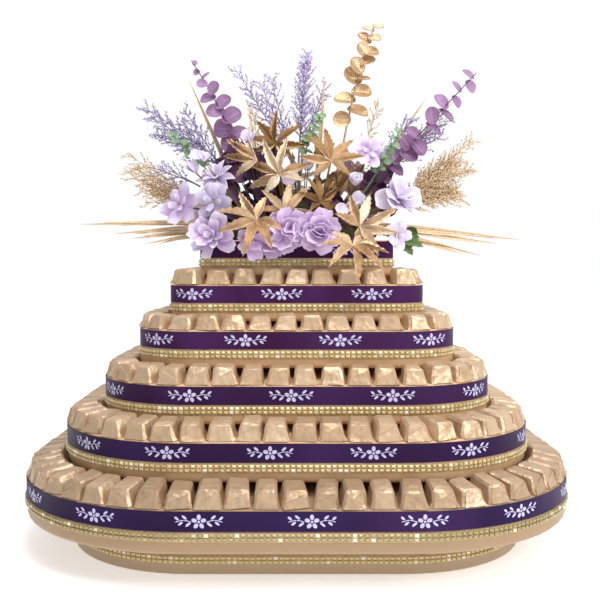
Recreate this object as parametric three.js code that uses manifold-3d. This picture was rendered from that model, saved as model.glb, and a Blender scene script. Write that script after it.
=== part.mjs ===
// A six-tier presentation tower of foil-wrapped pralines with a flower arrangement in its top box.
// Millimetres: X runs along the tower, -Y is its front, +Z is up and the origin is under its middle.
import * as THREE from 'three';
import { mergeVertices } from 'three/addons/utils/BufferGeometryUtils.js';
import Module from 'manifold-3d';

const wasm = await Module();
wasm.setup();

// Boxes: the plinth and every tier are padded boxes, dressed with a ribbon and a trim.
const BOX_HEIGHT = 37.3;
const LIP_HEIGHT = 1.2;
const RIBBON_WIDTH = 16.3;
const RIBBON_THICKNESS = 0.6;
const TRIM_GAP = 0.9;
const TRIM_WIDTH = 8;
const TRIM_THICKNESS = 2.2;
const CLEARANCE = 0.3;
const TIER_HALF_LENGTHS = [262, 224, 187.5, 154, 124, 95];
const TIER_RISES = [47, 43, 46, 41.5, 43];
const TIER_ARC_STEPS = [6, 5, 4, 4, 3, 1];
const CORNER_CENTRE = { x: 92, y: 49.5 };
const LEAST_CORNER_RADIUS = 5;
const LEAST_INNER_BEND = 1;
const PLINTH_HEIGHT = 31.7;
const PLINTH_RIBBON_WIDTH = 12.3;
const PLINTH_INSET = 44;
const PLINTH_ARC_STEPS = 4;
const FOOT_INSET = 14;

// Pralines: wrapped bars that stand side by side round each rim and fill its ledge up to the next box.
const PRALINE_BACK_GAP = 2.6;
const PRALINE_HEIGHT = 15.5;
const PRALINE_TOP_WIDTH = 15;
const PRALINE_END_SLOPE = 1.6;
const PRALINE_OVERHANG = 0.8;
const PRALINE_GAP_HEIGHT = 2;
const PRALINE_COUNTS = [65, 55, 45, 36, 27];
const PRALINE_PHASES = [0, 7, 8, -10, 0];
const PRALINE_FAN_INSET = 13;
const PRALINE_TOP_SHARE = 0.42;

// Flowers: every stem starts on the foam mound in the top box and ends in its leaf or blossom.
const FOAM_HALF_LENGTH = 78;
const FOAM_HALF_DEPTH = 38;
const FOAM_HEIGHT = 46;
const FOAM_SIDES = 12;
const FOAM_RINGS = 3;
const STEM_ROOT = { along: 0.6, across: 0.4, up: 0.4 };
const STEM_CLEARANCE = 1.2;
const STEM_RADIUS = 1.3;
const STEM_SIDES = 3;
const LEAF_THICKNESS = 0.9;
const ROUND_LEAF_SIDES = 6;
const SMALL_LEAF_SIDES = 4;
const SPRAY_STEPS = 3;
const ARM_TIP_RADIUS = 0.4;

const GOLD_LEAVES = [
  { at: [-17, -34, 356], face: [-0.15, -1, 0.35], lead: [-0.42, 0, 0.9], radius: 41 },
  { at: [-22, -8, 390], face: [0, -1, 0.3], lead: [0.1, 0, 1], radius: 37 },
  { at: [34, -38, 369], face: [0.1, -1, 0.3], lead: [0, 0, 1], radius: 39 },
  { at: [23, -45, 328], face: [0.6, -0.8, 0.2], lead: [0.2, 0, 1], radius: 31 },
  { at: [-12, -58, 316], face: [0, -1, 0.35], lead: [0.1, 0, 1], radius: 36 },
  { at: [-38, -78, 309], face: [-0.1, -0.85, 0.5], lead: [-0.8, 0, -0.45], radius: 42 },
  { at: [61, -70, 303], face: [0.1, -1, 0.3], lead: [0.9, 0, 0.42], radius: 41 },
  { at: [53, -88, 284], face: [0.1, -0.75, 0.65], lead: [0.15, -0.4, -1], radius: 40 },
  { at: [-10, 52, 350], face: [0.1, 1, 0.35], lead: [0.2, 0, 1], radius: 42 },
  { at: [48, 68, 309], face: [0.1, 0.85, 0.5], lead: [0.8, 0, -0.4], radius: 40 },
];
const BLOSSOMS = [
  { heads: [{ at: [-119, -25, 327], radius: 19 }], face: [-0.4, -0.9, 0.3], petals: 5 },
  { heads: [{ at: [-80, -34, 352], radius: 19 }], face: [-0.3, -0.7, 0.65], petals: 6 },
  { heads: [{ at: [-82, -53, 328], radius: 18 }], face: [-0.3, -0.9, 0.1], petals: 5 },
  { heads: [{ at: [-82, -62, 293], radius: 21 }], face: [-0.2, -1, 0.15], petals: 6 },
  { heads: [{ at: [-42, -64, 290], radius: 15 }], face: [0, -1, -0.2], petals: 5 },
  { heads: [{ at: [-7, -66, 302], radius: 18 }, { at: [22, -66, 298], radius: 22 }],
    face: [0, -1, 0.1], petals: 6 },
  { heads: [{ at: [102, -38, 331], radius: 20 }], face: [0.4, -0.9, 0.2], petals: 5 },
  { heads: [{ at: [100, -48, 295], radius: 17 }], face: [0.4, -0.9, 0], petals: 5 },
  { heads: [{ at: [75, -20, 382], radius: 17 }], face: [0.2, -0.9, 0.4], petals: 5 },
  { heads: [{ at: [58, -46, 344], radius: 12 }], face: [0.1, -0.5, 0.85], petals: 4 },
  { heads: [{ at: [-58, 62, 302], radius: 22 }, { at: [-96, 46, 318], radius: 20 }],
    face: [-0.2, 0.95, 0.2], petals: 5 },
  { heads: [{ at: [88, 46, 334], radius: 20 }, { at: [62, 48, 362], radius: 18 }],
    face: [0.2, 0.9, 0.35], petals: 5 },
];
const EUCALYPTUS = [
  { name: 'gold', bend: [58, 12, 458], tip: [83, 20, 516], from: 0.42, leaves: 10, size: 12 },
  { name: 'left', bend: [-62, 2, 405], tip: [-110, 5, 478], from: 0.2, leaves: 9, size: 13 },
  { name: 'right', bend: [112, 2, 385], tip: [187, 5, 465], from: 0.2, leaves: 9, size: 12 },
];
const PLUMES = [
  { name: 'left', forks: [
    { at: [-88, 12, 380], tips: [[-163, 12, 432], [-150, 2, 404], [-120, 18, 430]] },
    { at: [-105, -6, 349], tips: [[-152, -10, 366]] }] },
  { name: 'centre', forks: [
    { at: [2, 26, 382], tips: [[12, 32, 493], [-29, 30, 468], [-68, 28, 477]] }] },
  { name: 'right', forks: [
    { at: [104, 20, 376], tips: [[163, 18, 423], [156, 10, 403], [118, 24, 424]] }] },
];
const PLUME_TWIG = { count: 2, length: 20, radius: 1.8, lean: 0.75, arm: 1.2 };
const DRIED_GRASSES = [
  { name: 'left',
    grass: { at: [-114, 12, 338], tips: [[-182, 17, 383], [-179, 6, 357], [-158, -2, 330]] },
    reeds: { at: [-116, -8, 309],
      tips: [[-222, -15, 307], [-187, -20, 297], [-168, -25, 292], [-152, -31, 287]] } },
  { name: 'right',
    grass: { at: [114, 6, 336], tips: [[187, 15, 397], [182, 5, 366], [163, -2, 335]] },
    reeds: { at: [112, -8, 306], tips: [[230, -15, 291], [205, -20, 287], [187, -25, 275]] } },
];
const GRASS_TWIG = { count: 2, length: 16, radius: 2.2, lean: 0.55, arm: 1.4 };
const REED_BLADE = { count: 0, arm: 2.2 };
const SPRIGS = [
  { name: 'left', bend: [-98, -18, 372], tip: [-128, -22, 399], from: 0.45, leaves: 5, size: 5.5 },
  { name: 'right', bend: [88, -22, 366], tip: [105, -20, 402], from: 0.45, leaves: 5, size: 5.5 },
];
const GREEN_LEAF = { at: [103, -22, 293], face: [-0.05, -0.9, 0.42], lead: [0.9, 0, -0.45], radius: 28 };

const COLOURS = {
  leatherette: { color: 0xc8a57d, roughness: 0.62, metalness: 0 },
  ribbon: { color: 0x432052, roughness: 0.35, metalness: 0 },
  trim: { color: 0xdecd82, roughness: 0.25, metalness: 0.6 },
  foil: { color: 0xd4b48c, roughness: 0.42, metalness: 0.35 },
  foam: { color: 0x5f6b4a, roughness: 0.9, metalness: 0 },
  goldLeaf: { color: 0xbe965f, roughness: 0.45, metalness: 0.3 },
  blossom: { color: 0xcdafe1, roughness: 0.7, metalness: 0 },
  purpleLeaf: { color: 0x8a5590, roughness: 0.6, metalness: 0 },
  plume: { color: 0x8c7db9, roughness: 0.8, metalness: 0 },
  grass: { color: 0xd7b98c, roughness: 0.85, metalness: 0 },
  greenLeaf: { color: 0x648c5a, roughness: 0.6, metalness: 0 },
};

const tower = new THREE.Group();

function addPart(name, geometry, colour) {
  const mesh = new THREE.Mesh(geometry, new THREE.MeshStandardMaterial(COLOURS[colour]));
  mesh.name = name;
  tower.add(mesh);
}

const vector = (values) => new THREE.Vector3(...values);

// Closed meshes

function solid(points, faces) {
  const geometry = new THREE.BufferGeometry().setFromPoints(points);
  geometry.setIndex(faces.flat());
  return geometry;
}

// The faces that join ring after ring of a numbered stack, each ring of so many points.
function skinFaces(from, to, count) {
  const faces = [];
  for (let i = 0; i < count; i += 1) {
    const next = (i + 1) % count;
    faces.push([from + i, from + next, to + next], [from + i, to + next, to + i]);
  }
  return faces;
}

// Skins a stack of equal outlines from its first to its last and closes both with a flat end.
function loft(rings) {
  const count = rings[0].length;
  const last = (rings.length - 1) * count;
  const faces = [];
  for (let i = 0; i + 1 < rings.length; i += 1) {
    faces.push(...skinFaces(i * count, (i + 1) * count, count));
  }
  for (let i = 1; i + 1 < count; i += 1) {
    faces.push([0, i + 1, i], [last, last + i, last + i + 1]);
  }
  return solid(rings.flat(), faces);
}

// Skins a cycle of equal outlines into a band that closes on itself.
function band(rings) {
  const count = rings[0].length;
  const faces = rings.flatMap((ring, i) => skinFaces(i * count, ((i + 1) % rings.length) * count, count));
  return solid(rings.flat(), faces);
}

// Gives a triangulated sheet its thickness: both sides share one triangulation, free edges get a wall.
function thickSheet(points, faces, thickness) {
  const count = points.length;
  const below = points.map((point) => point.clone().sub(thickness));
  const used = new Set(faces.flatMap(([a, b, c]) => [`${a},${b}`, `${b},${c}`, `${c},${a}`]));
  const all = faces.flatMap(([a, b, c]) => [[a, b, c], [a + count, c + count, b + count]]);
  for (const edge of used) {
    const [a, b] = edge.split(',').map(Number);
    if (!used.has(`${b},${a}`)) {
      all.push([b, a, a + count], [b, a + count, b + count]);
    }
  }
  return solid([...points, ...below], all);
}

const MERGE_DISTANCE = 1e-4;

function toManifold(geometry) {
  const merged = mergeVertices(geometry, MERGE_DISTANCE);
  return new wasm.Manifold(new wasm.Mesh({
    numProp: 3,
    vertProperties: new Float32Array(merged.getAttribute('position').array),
    triVerts: new Uint32Array(merged.getIndex().array),
  }));
}

// Joins overlapping closed meshes into one.
function fuse(pieces) {
  const joined = pieces.map(toManifold).reduce((whole, piece) => whole.add(piece));
  const { vertProperties, triVerts } = joined.getMesh();
  const geometry = new THREE.BufferGeometry();
  geometry.setAttribute('position', new THREE.BufferAttribute(vertProperties, 3));
  geometry.setIndex(new THREE.BufferAttribute(triVerts, 1));
  return geometry;
}

// Boxes

function footprint(halfLength, arcSteps) {
  const radius = Math.max(LEAST_CORNER_RADIUS, halfLength - CORNER_CENTRE.x);
  return { halfLength, halfDepth: halfLength - CORNER_CENTRE.x + CORNER_CENTRE.y, radius, arcSteps };
}

// The outline of a footprint, grown outwards by an offset, anticlockwise at one height.
function outline({ halfLength, halfDepth, radius, arcSteps }, offset, z) {
  const bend = Math.max(LEAST_INNER_BEND, radius + offset);
  const x = halfLength + offset - bend;
  const y = halfDepth + offset - bend;
  const corners = [[x, y], [-x, y], [-x, -y], [x, -y]];
  return corners.flatMap(([cornerX, cornerY], quarter) =>
    Array.from({ length: arcSteps + 1 }, (_, step) => {
      const angle = (quarter + step / arcSteps) * Math.PI / 2;
      return new THREE.Vector3(cornerX + bend * Math.cos(angle), cornerY + bend * Math.sin(angle), z);
    }));
}

function bandRound(plan, inner, outer, bottom, top) {
  return band([outline(plan, outer, bottom), outline(plan, outer, top),
    outline(plan, inner, top), outline(plan, inner, bottom)]);
}

// One box with its ribbon and trim. A raised box stands on an inset foot of its own.
function addBox(name, plan, rim, standsOn, height, ribbonWidth) {
  const bottom = rim - height;
  const rings = [outline(plan, 0, bottom), outline(plan, 0, rim)];
  if (bottom - standsOn > CLEARANCE) {
    rings.unshift(outline(plan, -FOOT_INSET, standsOn), outline(plan, -FOOT_INSET, bottom));
  }
  addPart(`${name}_box`, loft(rings), 'leatherette');
  const ribbonTop = rim - LIP_HEIGHT;
  const ribbonBottom = ribbonTop - ribbonWidth;
  const ribbonOuter = CLEARANCE + RIBBON_THICKNESS;
  const trimOuter = CLEARANCE + TRIM_THICKNESS;
  addPart(`${name}_ribbon`, bandRound(plan, CLEARANCE, ribbonOuter, ribbonBottom, ribbonTop), 'ribbon');
  const trimTop = ribbonBottom - TRIM_GAP;
  addPart(`${name}_trim`, bandRound(plan, CLEARANCE, trimOuter, trimTop - TRIM_WIDTH, trimTop), 'trim');
}

// Pralines

// A walk round a rim: gives the point and the outward direction after so much of the way.
// The corners are walked nearer to their centres, because the bars fan out there.
function rimWalk(plan) {
  const bend = plan.radius;
  const straightX = plan.halfLength - bend;
  const straightY = plan.halfDepth - bend;
  const arc = (bend - PRALINE_FAN_INSET) * Math.PI / 2;
  const legs = [
    { length: straightX, start: [0, -straightY], along: [1, 0], angle: -90, turn: 0 },
    { length: arc, start: [straightX, -straightY], along: [0, 0], angle: -90, turn: 90 },
    { length: 2 * straightY, start: [straightX, -straightY], along: [0, 1], angle: 0, turn: 0 },
    { length: arc, start: [straightX, straightY], along: [0, 0], angle: 0, turn: 90 },
    { length: 2 * straightX, start: [straightX, straightY], along: [-1, 0], angle: 90, turn: 0 },
    { length: arc, start: [-straightX, straightY], along: [0, 0], angle: 90, turn: 90 },
    { length: 2 * straightY, start: [-straightX, straightY], along: [0, -1], angle: 180, turn: 0 },
    { length: arc, start: [-straightX, -straightY], along: [0, 0], angle: 180, turn: 90 },
    { length: straightX, start: [-straightX, -straightY], along: [1, 0], angle: 270, turn: 0 },
  ];
  const total = legs.reduce((sum, leg) => sum + leg.length, 0);
  const at = (way) => {
    let rest = THREE.MathUtils.euclideanModulo(way, total);
    const leg = legs.find((candidate) => {
      const found = rest <= candidate.length;
      rest -= found ? 0 : candidate.length;
      return found;
    });
    const angle = THREE.MathUtils.degToRad(leg.angle + leg.turn * rest / leg.length);
    const out = new THREE.Vector3(Math.cos(angle), Math.sin(angle), 0);
    const middle = vector([...leg.start, 0]).addScaledVector(vector([...leg.along, 0]), rest);
    return { point: middle.addScaledVector(out, bend), out, across: new THREE.Vector3(-out.y, out.x, 0) };
  };
  return { total, at };
}

// A ring of bars round a rim: low gaps between neighbours join them into one closed piece.
// Each bar adds four points of the gap before it and then the four corners of its top.
const PRALINE_POINTS = 8;

function pralineRing(plan, floor, count, phase, ledge) {
  const walk = rimWalk(plan);
  const pitch = walk.total / count;
  const inner = PRALINE_BACK_GAP - ledge;
  const points = [];
  const faces = [];
  const place = ({ point, out, across }, outward, sideways, height) => points.push(
    point.clone().addScaledVector(out, outward).addScaledVector(across, sideways).setZ(floor + height));
  for (let i = 0; i < count; i += 1) {
    const gap = walk.at(phase + (i - 0.5) * pitch);
    const nextGap = walk.at(phase + (i + 0.5) * pitch);
    const bar = walk.at(phase + i * pitch);
    const innerRoom = nextGap.point.clone().addScaledVector(nextGap.out, inner)
      .distanceTo(gap.point.clone().addScaledVector(gap.out, inner));
    const half = PRALINE_TOP_WIDTH / 2;
    const innerHalf = Math.min(half, innerRoom * PRALINE_TOP_SHARE);
    place(gap, PRALINE_OVERHANG, 0, 0);
    place(gap, inner, 0, 0);
    place(gap, PRALINE_OVERHANG, 0, PRALINE_GAP_HEIGHT);
    place(gap, inner, 0, PRALINE_GAP_HEIGHT);
    place(bar, PRALINE_OVERHANG - PRALINE_END_SLOPE, -half, PRALINE_HEIGHT);
    place(bar, inner + PRALINE_END_SLOPE, -innerHalf, PRALINE_HEIGHT);
    place(bar, PRALINE_OVERHANG - PRALINE_END_SLOPE, half, PRALINE_HEIGHT);
    place(bar, inner + PRALINE_END_SLOPE, innerHalf, PRALINE_HEIGHT);
    const own = i * PRALINE_POINTS;
    const next = ((i + 1) % count) * PRALINE_POINTS;
    const quads = [
      [own, own + 1, next + 1, next],
      [own, next, next + 2, own + 2],
      [own + 2, next + 2, own + 6, own + 4],
      [next + 1, own + 1, own + 3, next + 3],
      [next + 3, own + 3, own + 5, own + 7],
      [own + 2, own + 4, own + 5, own + 3],
      [own + 4, own + 6, own + 7, own + 5],
      [own + 6, next + 2, next + 3, own + 7],
    ];
    quads.forEach(([a, b, c, d]) => faces.push([a, b, c], [a, c, d]));
  }
  return solid(points, faces);
}

// Flowers

// A stem or twig: a tapered rod along a curve, from its first to its last radius.
function rod(curve, steps, radiusFrom, radiusTo) {
  const { normals, binormals } = curve.computeFrenetFrames(steps, false);
  const rings = normals.map((normal, step) => {
    const centre = curve.getPoint(step / steps);
    const radius = THREE.MathUtils.lerp(radiusFrom, radiusTo, step / steps);
    return Array.from({ length: STEM_SIDES }, (_, side) => {
      const angle = side * 2 * Math.PI / STEM_SIDES;
      return centre.clone().addScaledVector(normal, radius * Math.cos(angle))
        .addScaledVector(binormals[step], radius * Math.sin(angle));
    });
  });
  return loft(rings);
}

function straightRod(from, to, radiusFrom, radiusTo) {
  return rod(new THREE.LineCurve3(from, to), 1, radiusFrom, radiusTo);
}

// A three-sided spindle with a point at both ends, as of a flower twig or a seed head.
const SPINDLE_WAIST = 0.4;

function spindle(from, to, radius) {
  const along = to.clone().sub(from).normalize();
  const side = new THREE.Vector3(along.z, along.x, along.y).cross(along).normalize();
  const other = along.clone().cross(side);
  const middle = from.clone().lerp(to, SPINDLE_WAIST);
  const waist = [0, 120, 240].map((degrees) => {
    const angle = THREE.MathUtils.degToRad(degrees);
    return middle.clone().addScaledVector(side, radius * Math.cos(angle))
      .addScaledVector(other, radius * Math.sin(angle));
  });
  return solid([from, to, ...waist], [[0, 3, 2], [0, 4, 3], [0, 2, 4], [1, 2, 3], [1, 3, 4], [1, 4, 2]]);
}

// Local axes of a leaf or blossom: u along its lead, v across, w out of its face.
function axes(face, lead) {
  const w = vector(face).normalize();
  const u = vector(lead).addScaledVector(w, -vector(lead).dot(w)).normalize();
  return { u, v: w.clone().cross(u), w };
}

function pointOn(at, { u, v, w }, along, across, out) {
  return at.clone().addScaledVector(u, along).addScaledVector(v, across).addScaledVector(w, out);
}

const lowestRim = PLINTH_HEIGHT + CLEARANCE + BOX_HEIGHT;
const foamBase = TIER_RISES.reduce((sum, rise) => sum + rise, lowestRim) + CLEARANCE;

// The place on the foam mound, just clear of it, where a stem that reaches for a target comes out.
function foamExit(target) {
  const size = new THREE.Vector3(FOAM_HALF_LENGTH, FOAM_HALF_DEPTH, FOAM_HEIGHT).addScalar(STEM_CLEARANCE);
  const middle = new THREE.Vector3(0, 0, foamBase);
  const root = new THREE.Vector3(
    STEM_ROOT.along * THREE.MathUtils.clamp(target.x, -FOAM_HALF_LENGTH, FOAM_HALF_LENGTH),
    STEM_ROOT.across * THREE.MathUtils.clamp(target.y, -FOAM_HALF_DEPTH, FOAM_HALF_DEPTH),
    foamBase + STEM_ROOT.up * FOAM_HEIGHT);
  const start = root.clone().sub(middle).divide(size);
  const way = target.clone().sub(root).divide(size);
  const a = way.lengthSq();
  const b = start.dot(way);
  const c = start.lengthSq() - 1;
  return root.addScaledVector(target.clone().sub(root), (Math.sqrt(b * b - a * c) - b) / a);
}

function stemTo(target) {
  return straightRod(foamExit(target), target, STEM_RADIUS, STEM_RADIUS);
}

// A leaf of pointed lobes round one centre, each folded along its rib, on its own stem.
const PALMATE_LOBES = [
  { angle: -126, length: 0.62 }, { angle: -84, length: 0.86 }, { angle: -42, length: 0.97 },
  { angle: 0, length: 1 },
  { angle: 42, length: 0.97 }, { angle: 84, length: 0.86 }, { angle: 126, length: 0.62 },
];
const LOBE = { notch: 0.2, notchTurn: 21, shoulder: 0.55, halfWidth: 0.135, fold: 0.07, droop: 0.16 };
const LEAF_STALK = { along: 0.2, across: 0.05 };

function palmateSheet(at, local, radius, lobes) {
  const points = [at.clone()];
  const faces = [];
  const place = (reach, angle, across, fold) => {
    const turn = THREE.MathUtils.degToRad(angle);
    const along = reach * Math.cos(turn) - across * Math.sin(turn);
    const sideways = reach * Math.sin(turn) + across * Math.cos(turn);
    const out = fold - LOBE.droop * reach * reach / radius;
    points.push(pointOn(at, local, along, sideways, out));
    return points.length - 1;
  };
  let notch = place(LOBE.notch * radius, lobes[0].angle - LOBE.notchTurn, 0, LOBE.fold * radius / 2);
  lobes.forEach(({ angle, length }) => {
    const reach = length * radius;
    const right = place(LOBE.shoulder * reach, angle, -LOBE.halfWidth * radius, LOBE.fold * radius);
    const tip = place(reach, angle, 0, 0);
    const left = place(LOBE.shoulder * reach, angle, LOBE.halfWidth * radius, LOBE.fold * radius);
    const nextNotch = place(LOBE.notch * radius, angle + LOBE.notchTurn, 0, LOBE.fold * radius / 2);
    faces.push([0, notch, right], [0, right, tip], [0, tip, left], [0, left, nextNotch]);
    notch = nextNotch;
  });
  return thickSheet(points, faces, local.w.clone().multiplyScalar(LEAF_THICKNESS));
}

function palmateLeaf({ at, face, lead, radius }, lobes = PALMATE_LOBES) {
  const centre = vector(at);
  const local = axes(face, lead);
  const back = pointOn(centre, local, LEAF_STALK.along * radius, LEAF_STALK.across * radius, 0);
  return fuse([palmateSheet(centre, local, radius, lobes), stemTo(back)]);
}

// A blossom head: broad petals round one centre, cupped towards their tips.
const PETAL = { notch: 0.36, middle: 0.6, crease: 0.1, cup: 0.32, tipShare: 0.3, thickness: 1.2 };

function blossomHead(at, face, radius, petals) {
  const local = axes(face, [0, 0, 1]);
  const points = [];
  const faces = [];
  const place = (reach, turn, out) => {
    const angle = turn * 2 * Math.PI / petals;
    points.push(pointOn(at, local, reach * Math.cos(angle), reach * Math.sin(angle), out));
    return points.length - 1;
  };
  const notches = Array.from({ length: petals }, (_, petal) => place(PETAL.notch * radius, petal - 0.5, 0));
  notches.forEach((notch, petal) => {
    const next = notches[(petal + 1) % petals];
    const middle = place(PETAL.middle * radius, petal, PETAL.crease * radius);
    const right = place(radius, petal - PETAL.tipShare, PETAL.cup * radius);
    const left = place(radius, petal + PETAL.tipShare, PETAL.cup * radius);
    faces.push([notch, right, middle], [right, left, middle], [left, next, middle], [next, notch, middle]);
    if (petal > 0 && petal + 1 < petals) {
      faces.push([notches[0], notch, next]);
    }
  });
  return thickSheet(points, faces, local.w.clone().multiplyScalar(PETAL.thickness));
}

function blossom({ heads, face, petals }) {
  const centres = heads.map(({ at }) => vector(at));
  const pieces = heads.map(({ radius }, i) => blossomHead(centres[i], face, radius, petals));
  const inset = vector(face).normalize().multiplyScalar(-PETAL.thickness / 2);
  const backs = centres.map((centre) => centre.clone().add(inset));
  const twigs = backs.slice(1).map((back) => straightRod(backs[0], back, STEM_RADIUS, STEM_RADIUS));
  return fuse([...pieces, ...twigs, stemTo(backs[0])]);
}

// A round leaf of few sides, folded a little along its rib, with one corner in its stem.
function discLeaf(at, local, radius, sides) {
  const points = [];
  for (let side = 0; side < sides; side += 1) {
    const angle = side * 2 * Math.PI / sides;
    const across = radius * Math.sin(angle);
    points.push(pointOn(at, local, radius * (1 - Math.cos(angle)), -across, LEAF_FOLD * Math.abs(across)));
  }
  const tip = sides / 2;
  const faces = [];
  for (let side = 1; side < sides - 1; side += 1) {
    faces.push([tip, (tip + side) % sides, (tip + side + 1) % sides]);
  }
  return thickSheet(points, faces, local.w.clone().multiplyScalar(LEAF_THICKNESS));
}

// A bent stem with round leaves in turn on its two sides, smaller towards the tip.
const LEAF_FOLD = 0.2;
const LEAF_SPREAD = 1.5;
const LEAF_TIP_SHARE = 0.55;
const LAST_LEAF = 0.97;
const STEM_TAPER = 0.6;
const LEAF_FACE = { aside: 0.25, front: -0.8, up: 0.35, nod: 0.3 };

function leafySpray({ bend, tip, from, leaves, size }, sides) {
  const curve = new THREE.QuadraticBezierCurve3(foamExit(vector(bend)), vector(bend), vector(tip));
  const pieces = [rod(curve, SPRAY_STEPS, STEM_RADIUS, STEM_RADIUS * STEM_TAPER)];
  for (let i = 0; i < leaves; i += 1) {
    const share = i / (leaves - 1);
    const way = THREE.MathUtils.lerp(from, LAST_LEAF, share);
    const along = curve.getTangent(way);
    const side = new THREE.Vector3(along.z, 0, -along.x).normalize().multiplyScalar(i % 2 ? 1 : -1);
    const lead = share === 1 ? along : along.clone().addScaledVector(side, LEAF_SPREAD);
    const nod = LEAF_FACE.nod * (i % 3 - 1);
    const face = [LEAF_FACE.aside * side.x, LEAF_FACE.front, LEAF_FACE.up + nod];
    const radius = size * THREE.MathUtils.lerp(1, LEAF_TIP_SHARE, share);
    pieces.push(discLeaf(curve.getPoint(way), axes(face, lead.toArray()), radius, sides));
  }
  return fuse(pieces);
}

// A forked stem whose arms, one after the other, carry short twigs on alternate sides.
const ARM_STAGGER = 0.2;
const ARM_ROOT = 0.5;
const ARM_TURN = 0.3;
const TWIG_ROOT = 1;
const TWIG_FROM = 0.3;
const TWIG_SPAN = 0.6;
const TWIG_SHRINK = 0.45;

function forkedArms({ at, tips }, foot, twig) {
  const fork = vector(at);
  const pieces = [straightRod(foot, fork, STEM_RADIUS, STEM_RADIUS)];
  tips.forEach((tip, arm) => {
    const end = vector(tip);
    const start = fork.clone().lerp(foot, arm * ARM_STAGGER);
    const along = end.clone().sub(start).normalize();
    const side = new THREE.Vector3(along.z, ARM_TURN, -along.x).normalize();
    pieces.push(straightRod(start.clone().addScaledVector(along, -ARM_ROOT), end, twig.arm, ARM_TIP_RADIUS));
    for (let i = 0; i < twig.count; i += 1) {
      const share = i / twig.count;
      const base = start.clone().lerp(end, TWIG_FROM + TWIG_SPAN * share);
      const out = along.clone().addScaledVector(side, i % 2 ? twig.lean : -twig.lean).normalize();
      const root = base.clone().addScaledVector(out, -TWIG_ROOT);
      const point = base.clone().addScaledVector(out, twig.length * (1 - TWIG_SHRINK * share));
      pieces.push(spindle(root, point, twig.radius));
    }
  });
  return pieces;
}

function plume({ forks }) {
  const foot = foamExit(vector(forks[0].at));
  return fuse(forks.flatMap((fork) => forkedArms(fork, foot, PLUME_TWIG)));
}

function driedGrass({ grass, reeds }) {
  const foot = foamExit(vector(reeds.at));
  return fuse([...forkedArms(grass, foot, GRASS_TWIG), ...forkedArms(reeds, foot, REED_BLADE)]);
}

// A low mound of flower foam that fills the top box's mouth.
function foamMound() {
  const profile = [new THREE.Vector2(0, 0)];
  for (let ring = 0; ring < FOAM_RINGS; ring += 1) {
    const angle = ring / FOAM_RINGS * Math.PI / 2;
    profile.push(new THREE.Vector2(Math.cos(angle), Math.sin(angle)));
  }
  profile.push(new THREE.Vector2(0, 1));
  const dome = new THREE.LatheGeometry(profile, FOAM_SIDES);
  dome.rotateX(Math.PI / 2);
  dome.scale(FOAM_HALF_LENGTH, FOAM_HALF_DEPTH, FOAM_HEIGHT);
  dome.translate(0, 0, foamBase);
  return dome;
}

// The whole tower, from its plinth up to its flowers.

const plinthPlan = footprint(TIER_HALF_LENGTHS[0] - PLINTH_INSET, PLINTH_ARC_STEPS);
addBox('plinth', plinthPlan, PLINTH_HEIGHT, 0, PLINTH_HEIGHT, PLINTH_RIBBON_WIDTH);

let rim = PLINTH_HEIGHT;
TIER_HALF_LENGTHS.forEach((halfLength, tier) => {
  const standsOn = rim + CLEARANCE;
  rim = tier === 0 ? lowestRim : rim + TIER_RISES[tier - 1];
  const plan = footprint(halfLength, TIER_ARC_STEPS[tier]);
  addBox(`tier_${tier + 1}`, plan, rim, standsOn, BOX_HEIGHT, RIBBON_WIDTH);
  if (tier < PRALINE_COUNTS.length) {
    const ledge = halfLength - TIER_HALF_LENGTHS[tier + 1];
    const ring = pralineRing(plan, rim + CLEARANCE, PRALINE_COUNTS[tier], PRALINE_PHASES[tier], ledge);
    addPart(`pralines_${tier + 1}`, ring, 'foil');
  }
});

addPart('flower_foam', foamMound(), 'foam');
GOLD_LEAVES.forEach((leaf, i) => addPart(`gold_leaf_${i + 1}`, palmateLeaf(leaf), 'goldLeaf'));
BLOSSOMS.forEach((flower, i) => addPart(`blossom_${i + 1}`, blossom(flower), 'blossom'));
EUCALYPTUS.forEach((spray) => {
  const colour = spray.name === 'gold' ? 'goldLeaf' : 'purpleLeaf';
  addPart(`eucalyptus_${spray.name}`, leafySpray(spray, ROUND_LEAF_SIDES), colour);
});
SPRIGS.forEach((sprig) => addPart(`sprig_${sprig.name}`, leafySpray(sprig, SMALL_LEAF_SIDES), 'greenLeaf'));
PLUMES.forEach((spray) => addPart(`plume_${spray.name}`, plume(spray), 'plume'));
DRIED_GRASSES.forEach((bunch) => addPart(`dried_grass_${bunch.name}`, driedGrass(bunch), 'grass'));
addPart('green_leaf', palmateLeaf(GREEN_LEAF, PALMATE_LOBES.slice(2, -2)), 'greenLeaf');

export default tower;
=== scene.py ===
"""A six-tier tower of foil-wrapped pralines under a flower arrangement, dressed for its picture."""

import math
import random

import bmesh
import bpy
import numpy as np
from mathutils import Matrix, Vector


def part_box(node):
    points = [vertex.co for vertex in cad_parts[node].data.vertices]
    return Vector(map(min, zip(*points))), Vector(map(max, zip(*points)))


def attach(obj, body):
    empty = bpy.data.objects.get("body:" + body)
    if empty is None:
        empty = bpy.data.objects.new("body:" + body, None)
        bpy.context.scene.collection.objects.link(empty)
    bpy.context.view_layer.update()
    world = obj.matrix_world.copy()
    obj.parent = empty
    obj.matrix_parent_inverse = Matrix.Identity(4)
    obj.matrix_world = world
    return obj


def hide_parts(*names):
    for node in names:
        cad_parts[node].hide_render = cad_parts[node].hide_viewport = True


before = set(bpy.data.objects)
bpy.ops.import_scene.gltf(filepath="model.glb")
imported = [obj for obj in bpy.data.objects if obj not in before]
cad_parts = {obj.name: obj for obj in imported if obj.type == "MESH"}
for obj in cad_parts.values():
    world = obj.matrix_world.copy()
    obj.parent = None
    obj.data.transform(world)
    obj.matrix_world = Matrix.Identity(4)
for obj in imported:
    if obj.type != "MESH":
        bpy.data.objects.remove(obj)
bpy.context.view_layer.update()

MM = 0.001
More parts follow.
